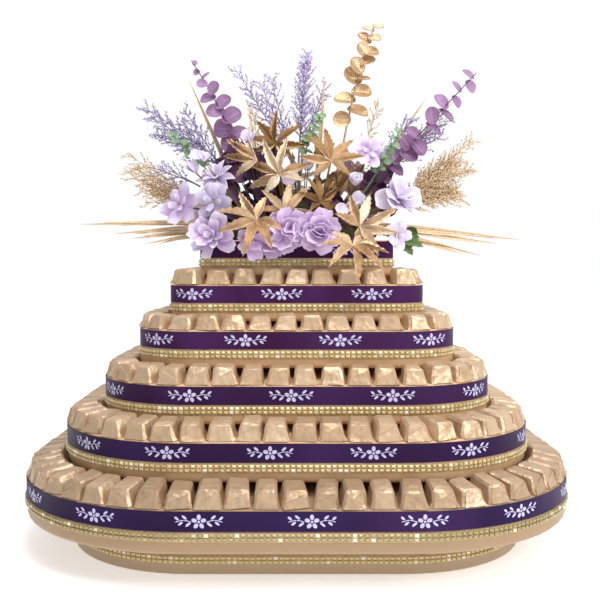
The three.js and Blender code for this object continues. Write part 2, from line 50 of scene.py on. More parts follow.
# What lies within NEAR of a height is at it; a normal with ALONG of an axis points along it.
NEAR = 0.1 * MM
ALONG = 0.9
BOX_SEED = 11
BAR_SEED = 23
FLOWER_SEED = 37
MOSS_SEED = 3
TIERS = [f"tier_{number}" for number in range(1, 7)]
BOXES = ["plinth", *TIERS]

# Picture: the camera stands in front of the tower and looks slightly down on it.
PICTURE_PIXELS = 600
FOCAL_PIXELS = 860
SENSOR_MM = 36
CAMERA_PLACE = Vector((3.3, -903, 271.3)) * MM
CAMERA_PITCH = 2.73

# Light: a white room, dimmer from the front and from the left, and three soft boxes: where each stands,
# where it points, its size in metres and its watts.
ROOM_BACK = 0.85
ROOM_FRONT = 0.38
ROOM_LEFT = 0.6
FLOOR_GLOW = 0.45
FLOOR_SIZE = 12
LIGHTS = [
    ("key", (1.1, -1.1, 1.1), (0, 0, 0.25), 0.5, 11.5),
    ("fill", (0.1, -1.9, 0.7), (0, 0, 0.3), 1.0, 2),
    ("top", (0.12, -0.42, 1.45), (0, -0.1, 0.3), 0.8, 13),
]

# Boxes, with their ribbons, stones and print
CORNER_CENTRE = 92 * MM
LEAST_CORNER = 5 * MM
CORNER_STEPS = 14
RIM_ROUND = 1.6 * MM
UNDER_ROUND = 4 * MM
BOX_HEIGHTS = dict(zip(BOXES, [37.3 * MM] * 2 + [35.3 * MM] * 5))
FOOT_INSET = 14 * MM
RIBBON_THICKNESS = 0.6 * MM
SELVEDGE = 0.7 * MM
RIBBON_DIP = 0.12 * MM
STONE_PITCH = 5 * MM
STONE_GAP = 1.4 * MM
STONE_HEIGHT = 2.7 * MM
STONE_ROW = 3.45 * MM
STONE_PROUD = 1.5 * MM
STONE_CUT = 0.7 * MM
STONE_BACKING = 0.7 * MM
STONE_TILT = 2
PRINT_PITCH = 90 * MM
PRINT_PHASES = dict(zip(BOXES, (0, 13 * MM, -22 * MM, -4.5 * MM, 40.5 * MM, -14 * MM, -38 * MM)))
PRINT_PROUD = 0.12 * MM
# The print, in millimetres: a flower between two arched twigs of leaves.
OVAL_CORNERS = 10
PRINT_HEART = 1.1
PRINT_PETALS = 5
PRINT_PETAL = (4.6, 3.4)
PRINT_REACH = 3.9
PRINT_LEAVES = 4
PRINT_LEAF = (5.4, 2.1)
PRINT_SHRINK = 0.4
PRINT_LEAF_SHIFT = (0.6, 2.5)
PRINT_LEAN = 38
PRINT_START = 8.0
PRINT_STEP = 3.1
PRINT_ARCH = (1.3, 0.9)
PRINT_TWIG = (4.2, 0.8)
PRINT_TURN = (14, 10)

# Pralines: one bar, how far it strays (its flap and slide in millimetres, its turns in degrees), and the
# rings from the lowest tier up.
BAR_LENGTH = 32 * MM
BAR_BASE = 22.6 * MM
BAR_TOP = 17.2 * MM
BAR_END_SLOPE = 3.6 * MM
BAR_SKIRT = 5 * MM
BAR_FLARE = (1.06, 1.04)
BAR_FRONT = -0.8
BAR_LEAN = 1.7 * MM
BAR_ROUND = 1.9 * MM
BAR_BACK_GAP = 4 * MM
BAR_FLAP = 10 * MM
FLAP_THICKNESS = 0.8 * MM
FLAP_SHIFT = 4
FLAP_RISE = (0.6, 0.85)
CORNER_CRUMPLE = 1.7 * MM
BAR_CRUMPLE = 0.9 * MM
BAR_TURN = 3.2
BAR_NOD = 1.2
BAR_WIDTHS = (0.95, 1.04)
BAR_STRETCH = (0.96, 1.04)
BAR_SLIDE = 0.8
BAR_FAN = 13 * MM
BAR_COUNTS = [65, 55, 45, 36, 27]
BAR_PHASES = [0, 7 * MM, 8 * MM, -10 * MM, 0]
BAR_HEIGHTS = [1.02, 1.0, 1.0, 0.87, 0.94]
BAR_FALLS = [0.32, 0.24, 0.16, 0.1, 0.1]
BAR_SETBACK = 1.6 * MM
BAR_VARIANTS = 10
FOIL_ANGLE = 34

# Flowers, in millimetres, about as on the solids. A leaf: its middle, the way it faces, the way it leads
# and its reach. A blossom: its heads with their radii, the way they face, their kind and their colour. A
# spray: its bend, its tip, where its leaves start, their number, their size and how much they shrink.
FOAM = Vector((78, 38, 46))
FOAM_BASE = 290.1
STEM_ROOT = Vector((0.6, 0.4, 0.4))
STEM_RADII = (1.44, 0.96)
STEM_BEND = 3
LEAF_THICKNESS = 0.6
PETAL_THICKNESS = 0.4
# Edges flatter than these angles are shaded smooth.
SMOOTH = 60
CREASED = 30
GOLD_LEAVES = [
    ((-17, -34, 356), (-0.15, -1, 0.35), (-0.42, 0, 0.9), 41),
    ((-22, -8, 390), (0, -1, 0.3), (0.1, 0, 1), 37),
    ((34, -38, 369), (0.1, -1, 0.3), (0, 0, 1), 39),
    ((23, -45, 328), (0.6, -0.8, 0.2), (0.2, 0, 1), 31),
    ((-12, -58, 316), (0, -1, 0.35), (0.1, 0, 1), 36),
    ((-38, -78, 309), (-0.1, -0.85, 0.5), (-0.8, 0, -0.45), 42),
    ((61, -70, 303), (0.1, -1, 0.3), (0.9, 0, 0.42), 41),
    ((53, -88, 284), (0.1, -0.75, 0.65), (0.15, -0.4, -1), 40),
    ((-10, 52, 350), (0.1, 1, 0.35), (0.2, 0, 1), 42),
    ((48, 68, 309), (0.1, 0.85, 0.5), (0.8, 0, -0.4), 40),
]
LEAF_FINISHES = {2: "bronze", 3: "soft_gold", 4: "bronze"}
# A leaf's lobes: their angles and lengths, their width against the leaf's reach and how they stray.
LOBES = [(-126, 0.62), (-84, 0.86), (-42, 0.97), (0, 1), (42, 0.97), (84, 0.86), (126, 0.62)]
LOBE_WIDTH = 0.24
GREEN_LEAF = ((103, -22, 293), (-0.05, -0.9, 0.42), (0.9, 0, -0.45), 28)
GREEN_LOBES = [(-24, 0.9), (0, 1), (24, 0.9)]
GREEN_LOBE_WIDTH = 0.5
SIDE_LEAF = ((-40, -28, 371), (-0.3, -1, 0.3), (-1, 0, 0.25), 42)
SIDE_LOBES = [(-50, 0.8), (-20, 1), (8, 0.95), (46, 0.7)]
SIDE_LOBE_WIDTH = 0.22
LOBE_LENGTHS = (0.94, 1.06)
LOBE_SWING = 8
LOBE_RISE = (-8, 14)
LOBE_ROLL = 16
LOBE_FOLD = 0.5
BLOSSOMS = [
    ([((-119, -25, 327), 19)], (-0.4, -0.9, 0.3), "open", "lilac"),
    ([((-80, -34, 352), 19)], (-0.3, -0.7, 0.65), "star", "pale"),
    ([((-82, -53, 328), 18)], (-0.3, -0.9, 0.1), "open", "blue"),
    ([((-82, -62, 293), 21)], (-0.2, -1, 0.15), "double", "lilac"),
    ([((-42, -64, 290), 15)], (0, -1, -0.2), "frilled", "pink"),
    ([((-7, -66, 301), 16), ((22, -66, 297), 19), ((8, -64, 298), 16)], (0, -1, 0.1), "ruffled", "pink"),
    ([((102, -38, 331), 20)], (0.3, -0.8, 0.5), "frilled", "pale"),
    ([((100, -48, 295), 17)], (0.4, -0.9, 0), "small", "pale"),
    ([((75, -20, 382), 17)], (0.2, -0.9, 0.4), "open", "lilac"),
    ([((58, -46, 344), 12)], (0.1, -0.5, 0.85), "bud", "pale"),
    ([((-58, 62, 302), 22), ((-96, 46, 318), 20)], (-0.2, 0.95, 0.2), "double", "lilac"),
    ([((88, 46, 334), 20), ((62, 48, 362), 18)], (0.2, 0.9, 0.35), "open", "pink"),
]
# Rings of petals in each kind of head: how many, how long against the head, how wide against that and how
# steep. Then how petals and stamens stray, in degrees and shares.
PETAL_RINGS = {
    "open": [(6, 1.18, 0.7, 10), (4, 0.66, 0.62, 36)],
    "small": [(5, 0.9, 0.85, 20), (2, 0.4, 0.9, 55)],
    "star": [(9, 1.2, 0.42, 6), (6, 0.8, 0.4, 30)],
    "double": [(7, 1.18, 0.64, 6), (5, 0.84, 0.62, 26), (3, 0.5, 0.6, 48)],
    "ruffled": [(7, 1.25, 0.8, 0), (6, 1.0, 0.85, 26), (5, 0.75, 0.95, 52)],
    "frilled": [(6, 1.3, 0.85, 0), (4, 0.95, 0.9, 34)],
    "bud": [(4, 1.1, 0.95, 62), (3, 0.95, 1, 76)],
}
PETAL_SWING = {"ruffled": 20, "frilled": 20, "double": 13}
LEAST_SWING = 9
PETAL_LENGTHS = (0.86, 1.06)
PETAL_WIDTHS = (0.88, 1.12)
RING_LIFT = 0.5
HEAD_DEPTH = 0.8
STAMENS = 7
STAMEN_TURN = 51
STAMEN_SWING = 12
STAMEN_RISE = (48, 84)
STAMEN_WIDTH = 1.4
STAMEN_LENGTH = 0.22
EUCALYPTUS = {
    "gold": ((58, 12, 458), (83, 20, 520), 0.38, 14, 13, 0.4),
    "left": ((-62, 2, 405), (-110, 5, 478), 0.2, 16, 15, 0.75),
    "right": ((112, 2, 385), (187, 5, 465), 0.2, 17, 13, 0.3),
}
SPRIGS = {
    "left": ((-98, -18, 372), (-128, -22, 399), 0.45, 11, 6, 0.3),
    "right": ((88, -22, 366), (105, -20, 402), 0.45, 11, 6, 0.3),
}
CENTRE_SPRIG = ((3, 10, 385), (26, 10, 424), 0.5, 12, 6, 0.3)
SPRAY_STEPS = 24
SPRAY_RADII = (1.3, 0.5)
SPRAY_END = 0.97
SPRAY_SHIFT = 0.4
SPRAY_LEAD = (-0.2, 0.7)
SPRAY_FACE = (0.1, 0.9)
SPRAY_FRONT = Vector((0, -0.7, 0))
SPRAY_LEAF = 1.8
SPRAY_LENGTHS = (0.85, 1.15)
SPRAY_WIDTH = 0.8
SPRAY_OVERLAP = 0.2
# Forks with their tips and the number of twigs on each arm.
PLUMES = {
    "left": [((-88, 12, 380), [(-163, 12, 432), (-150, 2, 404), (-120, 18, 430)], 24),
             ((-105, -6, 349), [(-152, -10, 366)], 7)],
    "centre": [((2, 26, 382), [(12, 32, 493)], 44),
               ((-8, 28, 386), [(-29, 30, 468), (-68, 28, 477)], 20),
               ((6, 30, 390), [(32, 40, 464)], 12)],
    "right": [((104, 20, 376), [(163, 18, 423), (156, 10, 403), (118, 24, 424)], 14)],
}
GRASSES = {
    "left": ((-114, 12, 338), [(-182, 17, 383), (-179, 6, 357), (-158, -2, 330)]),
    "right": ((114, 6, 336), [(187, 15, 397), (184, 5, 366), (174, -2, 334)]),
}
REEDS = {
    "left": ((-116, -8, 309), [(-222, -15, 307), (-187, -20, 297), (-168, -25, 292), (-152, -31, 287)]),
    "right": ((112, -8, 306), [(230, -15, 291), (205, -20, 287), (187, -25, 275)]),
}
STRAWS = {
    "left": [(-116, 24, 464), (-106, 26, 440), (-53, 26, 441)],
    "right": [(170, 24, 442), (140, 26, 446), (30, 28, 470)],
}
FEATHERS = {"left": (-48, 26, 432), "right": (88, 27, 438)}
# Grasses and plumes: their twigs and grains, and how their arms, twigs and blades stray.
PLUME = {"length": 20, "spread": 0.8, "grains": 6, "size": 2.9, "width": 0.9, "beside": 1}
GRASS = {"length": 20, "spread": 0.7, "grains": 6, "size": 3.4, "width": 0.5, "beside": 3}
GRASS_TWIGS = {"left": 14, "right": 34}
FEATHER_TWIGS = 26
ARM_STAGGER = 0.2
ARM_SAG = 0.04
ARM_RADII = (0.8, 0.25)
TRUNK_RADII = (1.3, 1.0)
TWIG_RADII = (0.35, 0.28, 0.15)
TWIG_START = 0.16
TWIG_SPAN = 0.82
TWIG_TURN = 2.4
TWIG_DEPTH = 0.5
TWIG_LENGTHS = (0.7, 1.2)
GRAIN_SIZES = (0.7, 1.3)
BESIDE_SHARES = (0.15, 0.6)
BESIDE_REACHES = (0.75, 0.98)
BESIDE_STRAY = 7
REED_START = 0.6
REED_STEP = Vector((0, -2, -3.5))
REED_BLADES = ((0.97, 5.5), (0.84, 5), (0.7, 4.4))
STRAW_WIDTH = 5
MOUND_LEAVES = 110
MOUND_LEAF_LENGTHS = (13, 22)
MOUND_LEAF_RISE = (10, 50)
MOSS_DEPTH = 1.2 * MM
FILLER_RADII = (0.7, 0.4)
FILLER_LENGTHS = (0.8, 1.2)
# Fillers between the flowers: the low and high corner of where they start, their form, finish, number and
# length.
FILLERS = [
    ((-72, -18, 318), (-18, 26, 372), "leaf", "dusky", 34, 22),
    ((70, -18, 318), (104, 26, 352), "leaf", "dusky", 20, 22),
    ((-40, -20, 330), (62, 28, 352), "lobe", "bronze", 40, 24),
    ((16, -16, 366), (54, 0, 374), "lobe", "bronze", 5, 28),
    ((108, -16, 297), (110, -12, 299), "leaf", "dark_green", 1, 16),
    ((-30, -62, 288), (-12, -56, 302), "frill", "pink", 8, 20),
    ((-95, -42, 368), (-91, -38, 372), "petal", "pale", 2, 14),
    ((-103, -42, 355), (-99, -38, 359), "petal", "pale", 2, 14),
    ((-54, -22, 388), (-37, -18, 392), "petal", "pale", 3, 15),
    ((8, -22, 360), (14, -18, 366), "petal", "pale", 2, 14),
    ((-10, -22, 342), (-4, -18, 348), "petal", "pale", 2, 14),
    ((50, -47, 322), (58, -43, 328), "petal", "pale", 3, 15),
]


# Modelling by hand

def start(shape, **size):
    """Adds a primitive that alone is selected, and opens it for editing."""
    bpy.ops.object.select_all(action="DESELECT")
    getattr(bpy.ops.mesh, f"primitive_{shape}_add")(**size)
    bpy.ops.object.mode_set(mode="EDIT")
    return bpy.context.object


def pick(kind, test):
    """Selects the vertices, edges or faces of the open mesh whose middle and normal pass a test."""
    bpy.ops.mesh.select_mode(type=kind)
    bpy.ops.mesh.select_all(action="DESELECT")
    shape = bmesh.from_edit_mesh(bpy.context.object.data)
    for part in {"VERT": shape.verts, "EDGE": shape.edges, "FACE": shape.faces}[kind]:
        if kind == "VERT":
            part.select_set(test(part.co, part.normal))
        elif kind == "EDGE":
            part.select_set(test((part.verts[0].co + part.verts[1].co) / 2, part.verts[0].normal))
        else:
            part.select_set(test(part.calc_center_median(), part.normal))
    shape.select_flush_mode()
    bmesh.update_edit_mesh(bpy.context.object.data)


def pick_all():
    bpy.ops.mesh.select_mode(type="VERT")
    bpy.ops.mesh.select_all(action="SELECT")


def move(x=0.0, y=0.0, z=0.0):
    bpy.ops.transform.translate(value=(x, y, z))


def resize(x=1.0, y=1.0, z=1.0, about=(0, 0, 0)):
    bpy.ops.transform.resize(value=(x, y, z), center_override=about)


def extrude(z):
    bpy.ops.mesh.extrude_region_move(TRANSFORM_OT_translate={"value": (0, 0, z)})


def cut(place, normal):
    pick_all()
    bpy.ops.mesh.bisect(plane_co=place, plane_no=normal)


def close_model(model, closed=True):
    """Merges doubles, turns the faces of a closed shape outwards and ends the editing."""
    pick_all()
    bpy.ops.mesh.remove_doubles(threshold=0.01 * MM)
    if closed:
        bpy.ops.mesh.normals_make_consistent(inside=False)
    bpy.ops.object.mode_set(mode="OBJECT")
    return model


def only(piece):
    bpy.ops.object.select_all(action="DESELECT")
    piece.select_set(True)
    bpy.context.view_layer.objects.active = piece


def modify(piece, kind, **settings):
    """Adds one modifier and applies it."""
    only(piece)
    modifier = piece.modifiers.new(kind.title(), kind)
    for name, value in settings.items():
        setattr(modifier, name, value)
    bpy.ops.object.modifier_apply(modifier=modifier.name)


def soften(piece, degrees=40):
    only(piece)
    bpy.ops.object.shade_smooth_by_angle(angle=math.radians(degrees))
    return piece


def join(name, pieces):
    """Joins pieces, each with its own finish, into one."""
    bpy.ops.object.select_all(action="DESELECT")
    for piece in pieces:
        piece.select_set(True)
    bpy.context.view_layer.objects.active = pieces[0]
    if len(pieces) > 1:
        bpy.ops.object.join()
    pieces[0].name = name
    pieces[0].data.name = name
    return pieces[0]


def paint(piece, finish):
    piece.data.materials.clear()
    piece.data.materials.append(FINISHES[finish])
    return piece


def hand_over(piece, slot, *nodes):
    """Puts a finished piece in the place of its solids."""
    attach(piece, "root")
    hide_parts(*nodes)


# Copies

class Pattern:
    """The points, faces and UVs of a modelled shape, kept for copying."""

    def __init__(self, model):
        mesh = model.data
        self.points = np.array([vertex.co for vertex in mesh.vertices])
        self.faces = [list(face.vertices) for face in mesh.polygons]
        corners = sum(len(face) for face in self.faces)
        self.uvs = np.zeros((corners, 2))
        if mesh.uv_layers.active:
            self.uvs = np.array([corner.uv for corner in mesh.uv_layers.active.data])
        bpy.data.objects.remove(model)


def by(matrix):
    """A placing that moves all points by one matrix."""
    turn, shift = np.array(matrix.to_3x3()), np.array(matrix.translation)
    return lambda points: points @ turn.T + shift


def facing(at, face, lead):
    """Where a leaf or head is: along its lead, with its front to its face, in metres."""
    z = Vector(face).normalized()
    y = (Vector(lead) - z * Vector(lead).dot(z)).normalized()
    return Matrix.Translation(Vector(at) * MM) @ Matrix((y.cross(z), y, z)).transposed().to_4x4()


def spin(degrees, axis="Z"):
    return Matrix.Rotation(math.radians(degrees), 4, axis)


def sized(x, y, z):
    return Matrix.Diagonal((x * MM, y * MM, z * MM, 1))


def stray(draw, reach):
    """A small random shift."""
    return Vector([draw.uniform(-reach, reach) for _ in range(3)])


def strew(name, copies, finish):
    """Joins placed copies of patterns into one mesh, in which each copy has its own tone."""
    points, faces, uvs, tones, count = [], [], [], [], 0
    for pattern, place, tone in copies:
        placed = place(pattern.points)
        points.append(placed)
        faces.extend([corner + count for corner in face] for face in pattern.faces)
        uvs.append(pattern.uvs)
        tones.append(np.full(len(placed), tone))
        count += len(placed)
    mesh = bpy.data.meshes.new(name)
    mesh.from_pydata(np.concatenate(points).tolist(), [], faces)
    mesh.uv_layers.new(name="UVMap").data.foreach_set("uv", np.concatenate(uvs).ravel())
    mesh.attributes.new("tone", "FLOAT", "POINT").data.foreach_set("value", np.concatenate(tones))
    piece = bpy.data.objects.new(name, mesh)
    bpy.context.collection.objects.link(piece)
    return paint(piece, finish)


def stems(name, lines, finish):
    """Round stems along lines of points, each point with its own radius, in millimetres."""
    curve = bpy.data.curves.new(name, "CURVE")
    curve.dimensions = "3D"
    curve.bevel_depth = MM
    curve.bevel_resolution = 1
    curve.use_fill_caps = True
    for line in lines:
        spline = curve.splines.new("POLY")
        spline.points.add(len(line) - 1)
        for point, (place, radius) in zip(spline.points, line):
            point.co = (*(Vector(place) * MM), 1)
            point.radius = radius
    piece = bpy.data.objects.new(name, curve)
    bpy.context.collection.objects.link(piece)
    only(piece)
    bpy.ops.object.convert(target="MESH")
    return paint(soften(bpy.context.object, SMOOTH), finish)


def thin_sheet(name, copies, finish, thickness, degrees, rounded=False):
    """Joins placed leaves or petals into one sheet with a thickness in millimetres."""
    sheet = strew(name, copies, finish)
    if rounded:
        modify(sheet, "SUBSURF", levels=1, render_levels=1)
    modify(sheet, "SOLIDIFY", thickness=thickness * MM, offset=0)
    return soften(sheet, degrees)


# Finishes

def srgb(red, green, blue):
    """A colour with parts from 0 to 255, as the shaders take it."""
    def linear(value):
        share = value / 255
        return share / 12.92 if share <= 0.04045 else ((share + 0.055) / 1.055) ** 2.4
    return (linear(red), linear(green), linear(blue), 1)


class Tone:
    """A shader value that can be used in Python expressions."""

    def __init__(self, finish, socket):
        self.finish = finish
        self.socket = socket

    def maths(self, operation, *values):
        return self.finish.node("ShaderNodeMath", {"operation": operation}, dict(enumerate(values)))

    def __add__(self, other):
        return self.maths("ADD", self, other)

    def __radd__(self, other):
        return self.maths("ADD", other, self)

    def __sub__(self, other):
        return self.maths("SUBTRACT", self, other)

    def __rsub__(self, other):
        return self.maths("SUBTRACT", other, self)

    def __mul__(self, other):
        return self.maths("MULTIPLY", self, other)

    def __rmul__(self, other):
        return self.maths("MULTIPLY", other, self)

    def __pow__(self, other):
        return self.maths("POWER", self, other)

    def __abs__(self):
        return self.maths("ABSOLUTE", self)


class Graph:
    """Shader nodes: one method makes them all, and their values can be worked with as numbers."""

    def __init__(self, tree, shader):
        self.tree = tree
        self.shader = tree.nodes[shader]

    def node(self, kind, settings=None, sockets=None, out=0):
        made = self.tree.nodes.new(kind)
        for name, value in (settings or {}).items():
            setattr(made, name, value)
        for key, value in (sockets or {}).items():
            self.feed(made.inputs[key], value)
        return Tone(self, made.outputs[out])

    def feed(self, socket, value):
        if isinstance(value, Tone):
            self.tree.links.new(value.socket, socket)
        else:
            socket.default_value = value

    def set(self, socket, value):
        self.feed(self.shader.inputs[socket], value)

    def step(self, value, low, high, start=0.0, end=1.0):
        sockets = {"Value": value, "From Min": low, "From Max": high, "To Min": start, "To Max": end}
        return self.node("ShaderNodeMapRange", {"interpolation_type": "SMOOTHSTEP"}, sockets)


class Finish(Graph):
    """One material, with the textures that the finishes are made of."""

    def __init__(self, name, **constants):
        self.material = bpy.data.materials.new(name)
        self.material.use_nodes = True
        super().__init__(self.material.node_tree, "Principled BSDF")
        for socket, value in constants.items():
            self.set(socket.replace("_", " "), value)

    def place(self, stretch=(1, 1, 1)):
        where = self.node("ShaderNodeTexCoord", out="Object")
        return self.node("ShaderNodeMapping", None, {"Vector": where, "Scale": stretch})

    def uv(self, axis):
        where = self.node("ShaderNodeTexCoord", out="UV")
        return self.node("ShaderNodeSeparateXYZ", None, {0: where}, out=axis)

    def height(self):
        return self.node("ShaderNodeSeparateXYZ", None, {0: self.place()}, out="Z")

    def tone(self):
        return self.node("ShaderNodeAttribute", {"attribute_name": "tone"}, out="Fac")

    def noise(self, size, detail=2.0, stretch=(1, 1, 1), roughness=0.5):
        return self.node("ShaderNodeTexNoise", None, {
            "Vector": self.place(stretch), "Scale": 1 / size, "Detail": detail, "Roughness": roughness})

    def cells(self, size, feature="F1", stretch=(1, 1, 1)):
        sockets = {"Vector": self.place(stretch), "Scale": 1 / size}
        return self.node("ShaderNodeTexVoronoi", {"feature": feature}, sockets)

    def mix(self, first, second, share):
        """A blend of two colours: each a shader value, or red, green and blue from 0 to 255."""
        ends = [end if isinstance(end, Tone) else srgb(*end) for end in (first, second)]
        return self.node("ShaderNodeMix", {"data_type": "RGBA"}, {0: share, 6: ends[0], 7: ends[1]}, out=2)

    def done(self, colour, roughness, relief=None, depth=0.0, strength=1.0):
        """Sets what every finish has, its relief with a depth in metres, and gives the material."""
        self.set("Base Color", colour)
        self.set("Roughness", roughness)
        if relief:
            self.set("Normal", self.node("ShaderNodeBump", None, {
                "Height": relief, "Distance": depth, "Strength": strength}))
        return self.material


def leatherette():
    made = Finish("leatherette", Specular_IOR_Level=0.35)
    height = made.height()
    mottle = made.step(made.noise(40 * MM, 3), 0.3, 0.7)
    grain = made.cells(0.9 * MM, "SMOOTH_F1")
    hide = made.mix((219, 177, 133), (233, 197, 153), mottle * 0.7 + grain * 0.3)
    # Painted shade darkens the hide on the lowest boxes, below 6 to 10 cm; below 3 cm, on the plinth, the
    # hide turns greyer.
    hide = made.mix((168, 139, 108), hide, made.step(height, 0.06, 0.1))
    hide = made.mix((184, 161, 135), hide, made.step(height, 0.028, 0.036))
    relief = grain * 0.7 + made.noise(12 * MM, 2) * 1.5
    return made.done(hide, 0.5 + mottle * 0.12 - grain * 0.06, relief, 0.25 * MM, 0.6)


def satin():
    made = Finish("purple_satin", Specular_IOR_Level=0.08)
    height = made.height()
    drift = made.step(made.noise(60 * MM, 2, (1, 1, 0.3)), 0.35, 0.7)
    # Painted sheen: broad lighter purple patches stand in for the satin's soft highlights.
    painted_sheen = made.step(made.noise(90 * MM, 1, (1, 1, 0.3)), 0.5, 0.75)
    thread = made.node("ShaderNodeTexWave", {"bands_direction": "Z"}, {
        "Vector": made.place(), "Scale": 240.0, "Distortion": 0.6, "Detail": 1.0})
    bluer = made.mix((40, 22, 60), (48, 30, 76), drift)
    redder = made.mix((60, 22, 62), (70, 32, 82), drift)
    cloth = made.mix(bluer, redder, made.step(height, 0.05, 0.25))
    cloth = made.mix(cloth, (80, 50, 100), painted_sheen * 0.4)
    cloth = made.mix(cloth, (36, 14, 50), thread * 0.2)
    relief = thread * 0.15 + made.noise(14 * MM, 2, (1, 1, 0.5))
    return made.done(cloth, 0.42 + drift * 0.12, relief, 0.3 * MM, 0.5)


def ribbon_ink():
    made = Finish("lilac_ink", Specular_IOR_Level=0.4)
    wear = made.step(made.noise(1.6 * MM, 3), 0.3, 0.75)
    return made.done(made.mix((186, 178, 222), (216, 210, 240), wear), 0.45 + wear * 0.15)


def gilt_backing():
    made = Finish("gilt_backing", Metallic=0.25)
    wear = made.noise(3 * MM, 3)
    return made.done(made.mix((176, 148, 106), (200, 170, 124), wear), 0.35 + wear * 0.2)


def cut_glass():
    made = Finish("gold_stones", Coat_Weight=0.2, Coat_Roughness=0.1)
    tone = made.tone()
    height = made.height()
    colour = made.mix((196, 174, 122), (230, 212, 160), tone)
    # Painted shade darkens the stones on the lowest tiers, below 5 to 10 cm. Painted light brightens them on
    # the plinth, in the shade of the box above, and on the top tier, in the shade of the flowers.
    colour = made.mix((170, 154, 110), colour, made.step(height, 0.05, 0.1))
    colour = made.mix((216, 199, 146), colour, made.step(height, 0.028, 0.036))
    colour = made.mix(colour, (244, 226, 178), made.step(height, 0.26, 0.29) * 0.9)
    # Painted glints: a few stones at random turn near-white.
    colour = made.mix(colour, (248, 242, 214), made.step(tone, 0.86, 0.98))
    made.set("Metallic", 0.28 - 0.2 * tone)
    return made.done(colour, 0.18 + 0.16 * made.noise(2 * MM, 1))


def foil():
    made = Finish("champagne_foil", Metallic=0.4)
    tone = made.tone()
    crumple = made.noise(9 * MM, 3)
    facets = made.cells(8 * MM) + made.cells(4 * MM, stretch=(1, 1.3, 0.8)) * 0.4
    sheet = made.mix((196, 164, 130), (214, 186, 154), tone)
    # Painted shade: the bars of the lowest ring are darker, below 9 to 13 cm.
    painted_shade_sheet = made.mix((182, 152, 121), (206, 178, 147), tone)
    sheet = made.mix(painted_shade_sheet, sheet, made.step(made.height(), 0.09, 0.13))
    # Painted shade: darker patches that follow the crumple relief.
    sheet = made.mix(sheet, (166, 130, 96), made.step(crumple, 0.48, 0.75) * 0.4)
    return made.done(sheet, 0.32 + crumple * 0.14, crumple * 0.7 + facets * 0.6, 1.8 * MM, 0.7)


def gold_paint(name, dark, light, painted_shine):
    made = Finish(name, Metallic=0.5)
    blotch = made.step(made.noise(14 * MM, 3), 0.3, 0.72)
    rib = made.step(abs(made.uv("X") - 0.5), 0.0, 0.12)
    vein = made.node("ShaderNodeTexWave", {"bands_direction": "DIAGONAL"}, {
        "Vector": made.node("ShaderNodeTexCoord", out="UV"), "Scale": 4.0, "Distortion": 0.8})
    # Painted highlights: a bright streak along each lobe's rib, and some lobes near-white at random.
    colour = made.mix(made.mix(dark, light, blotch), painted_shine, (1 - rib) * 0.3 + made.tone() ** 2 * 0.7)
    relief = rib * 0.6 + vein * 0.4 + made.noise(1.2 * MM, 2) * 0.2
    return made.done(colour, 0.26 + blotch * 0.14, relief, 0.6 * MM, 0.7)


def petal_silk(name, heart, body, edge):
    made = Finish(name, Subsurface_Weight=0.12, Subsurface_Radius=(0.004, 0.003, 0.004), Sheen_Weight=0.15)
    reach = made.uv("Y")
    vein = made.noise(1.4 * MM, 3)
    colour = made.mix(heart, body, made.step(reach, 0.02, 0.34))
    colour = made.mix(colour, edge, made.step(reach + vein * 0.2, 0.62, 1.1))
    colour = made.mix(colour, edge, made.tone() * 0.35)
    return made.done(colour, 0.55 + vein * 0.2, made.noise(2.5 * MM, 3), 0.6 * MM, 0.5)


def leaf_green(name, dark, light, size):
    made = Finish(name, Specular_IOR_Level=0.35)
    patch = made.step(made.noise(size, 3), 0.3, 0.7)
    rib = made.step(abs(made.uv("X") - 0.5), 0.02, 0.09)
    colour = made.mix(dark, light, made.tone() * 0.85 + patch * 0.25 - 0.1)
    colour = made.mix(light, colour, rib * 0.4 + 0.6)
    return made.done(colour, 0.48 + patch * 0.15, rib * 0.7 + patch * 0.3, 0.3 * MM, 0.6)


def bloom_dust(name, dark, light):
    made = Finish(name, Specular_IOR_Level=0.2)
    fleck = made.step(made.noise(2.2 * MM, 3), 0.3, 0.7)
    colour = made.mix(dark, light, made.tone() * 0.6 + fleck * 0.4)
    return made.done(colour, 0.72 + fleck * 0.15, fleck, 0.25 * MM, 0.6)


def moss():
    made = Finish("moss", Specular_IOR_Level=0.15)
    tuft = made.noise(3 * MM, 4, roughness=0.7)
    colour = made.mix((44, 40, 28), (98, 92, 58), made.step(tuft, 0.3, 0.75))
    return made.done(colour, 0.85 + tuft * 0.1, tuft, 2.5 * MM, 0.8)


def pale_floor():
    made = Finish("pale_floor", Emission_Color=(1, 1, 1, 1), Emission_Strength=FLOOR_GLOW)
    return made.done(made.mix((246, 246, 246), (252, 252, 252), made.noise(0.4, 2)), 0.6)


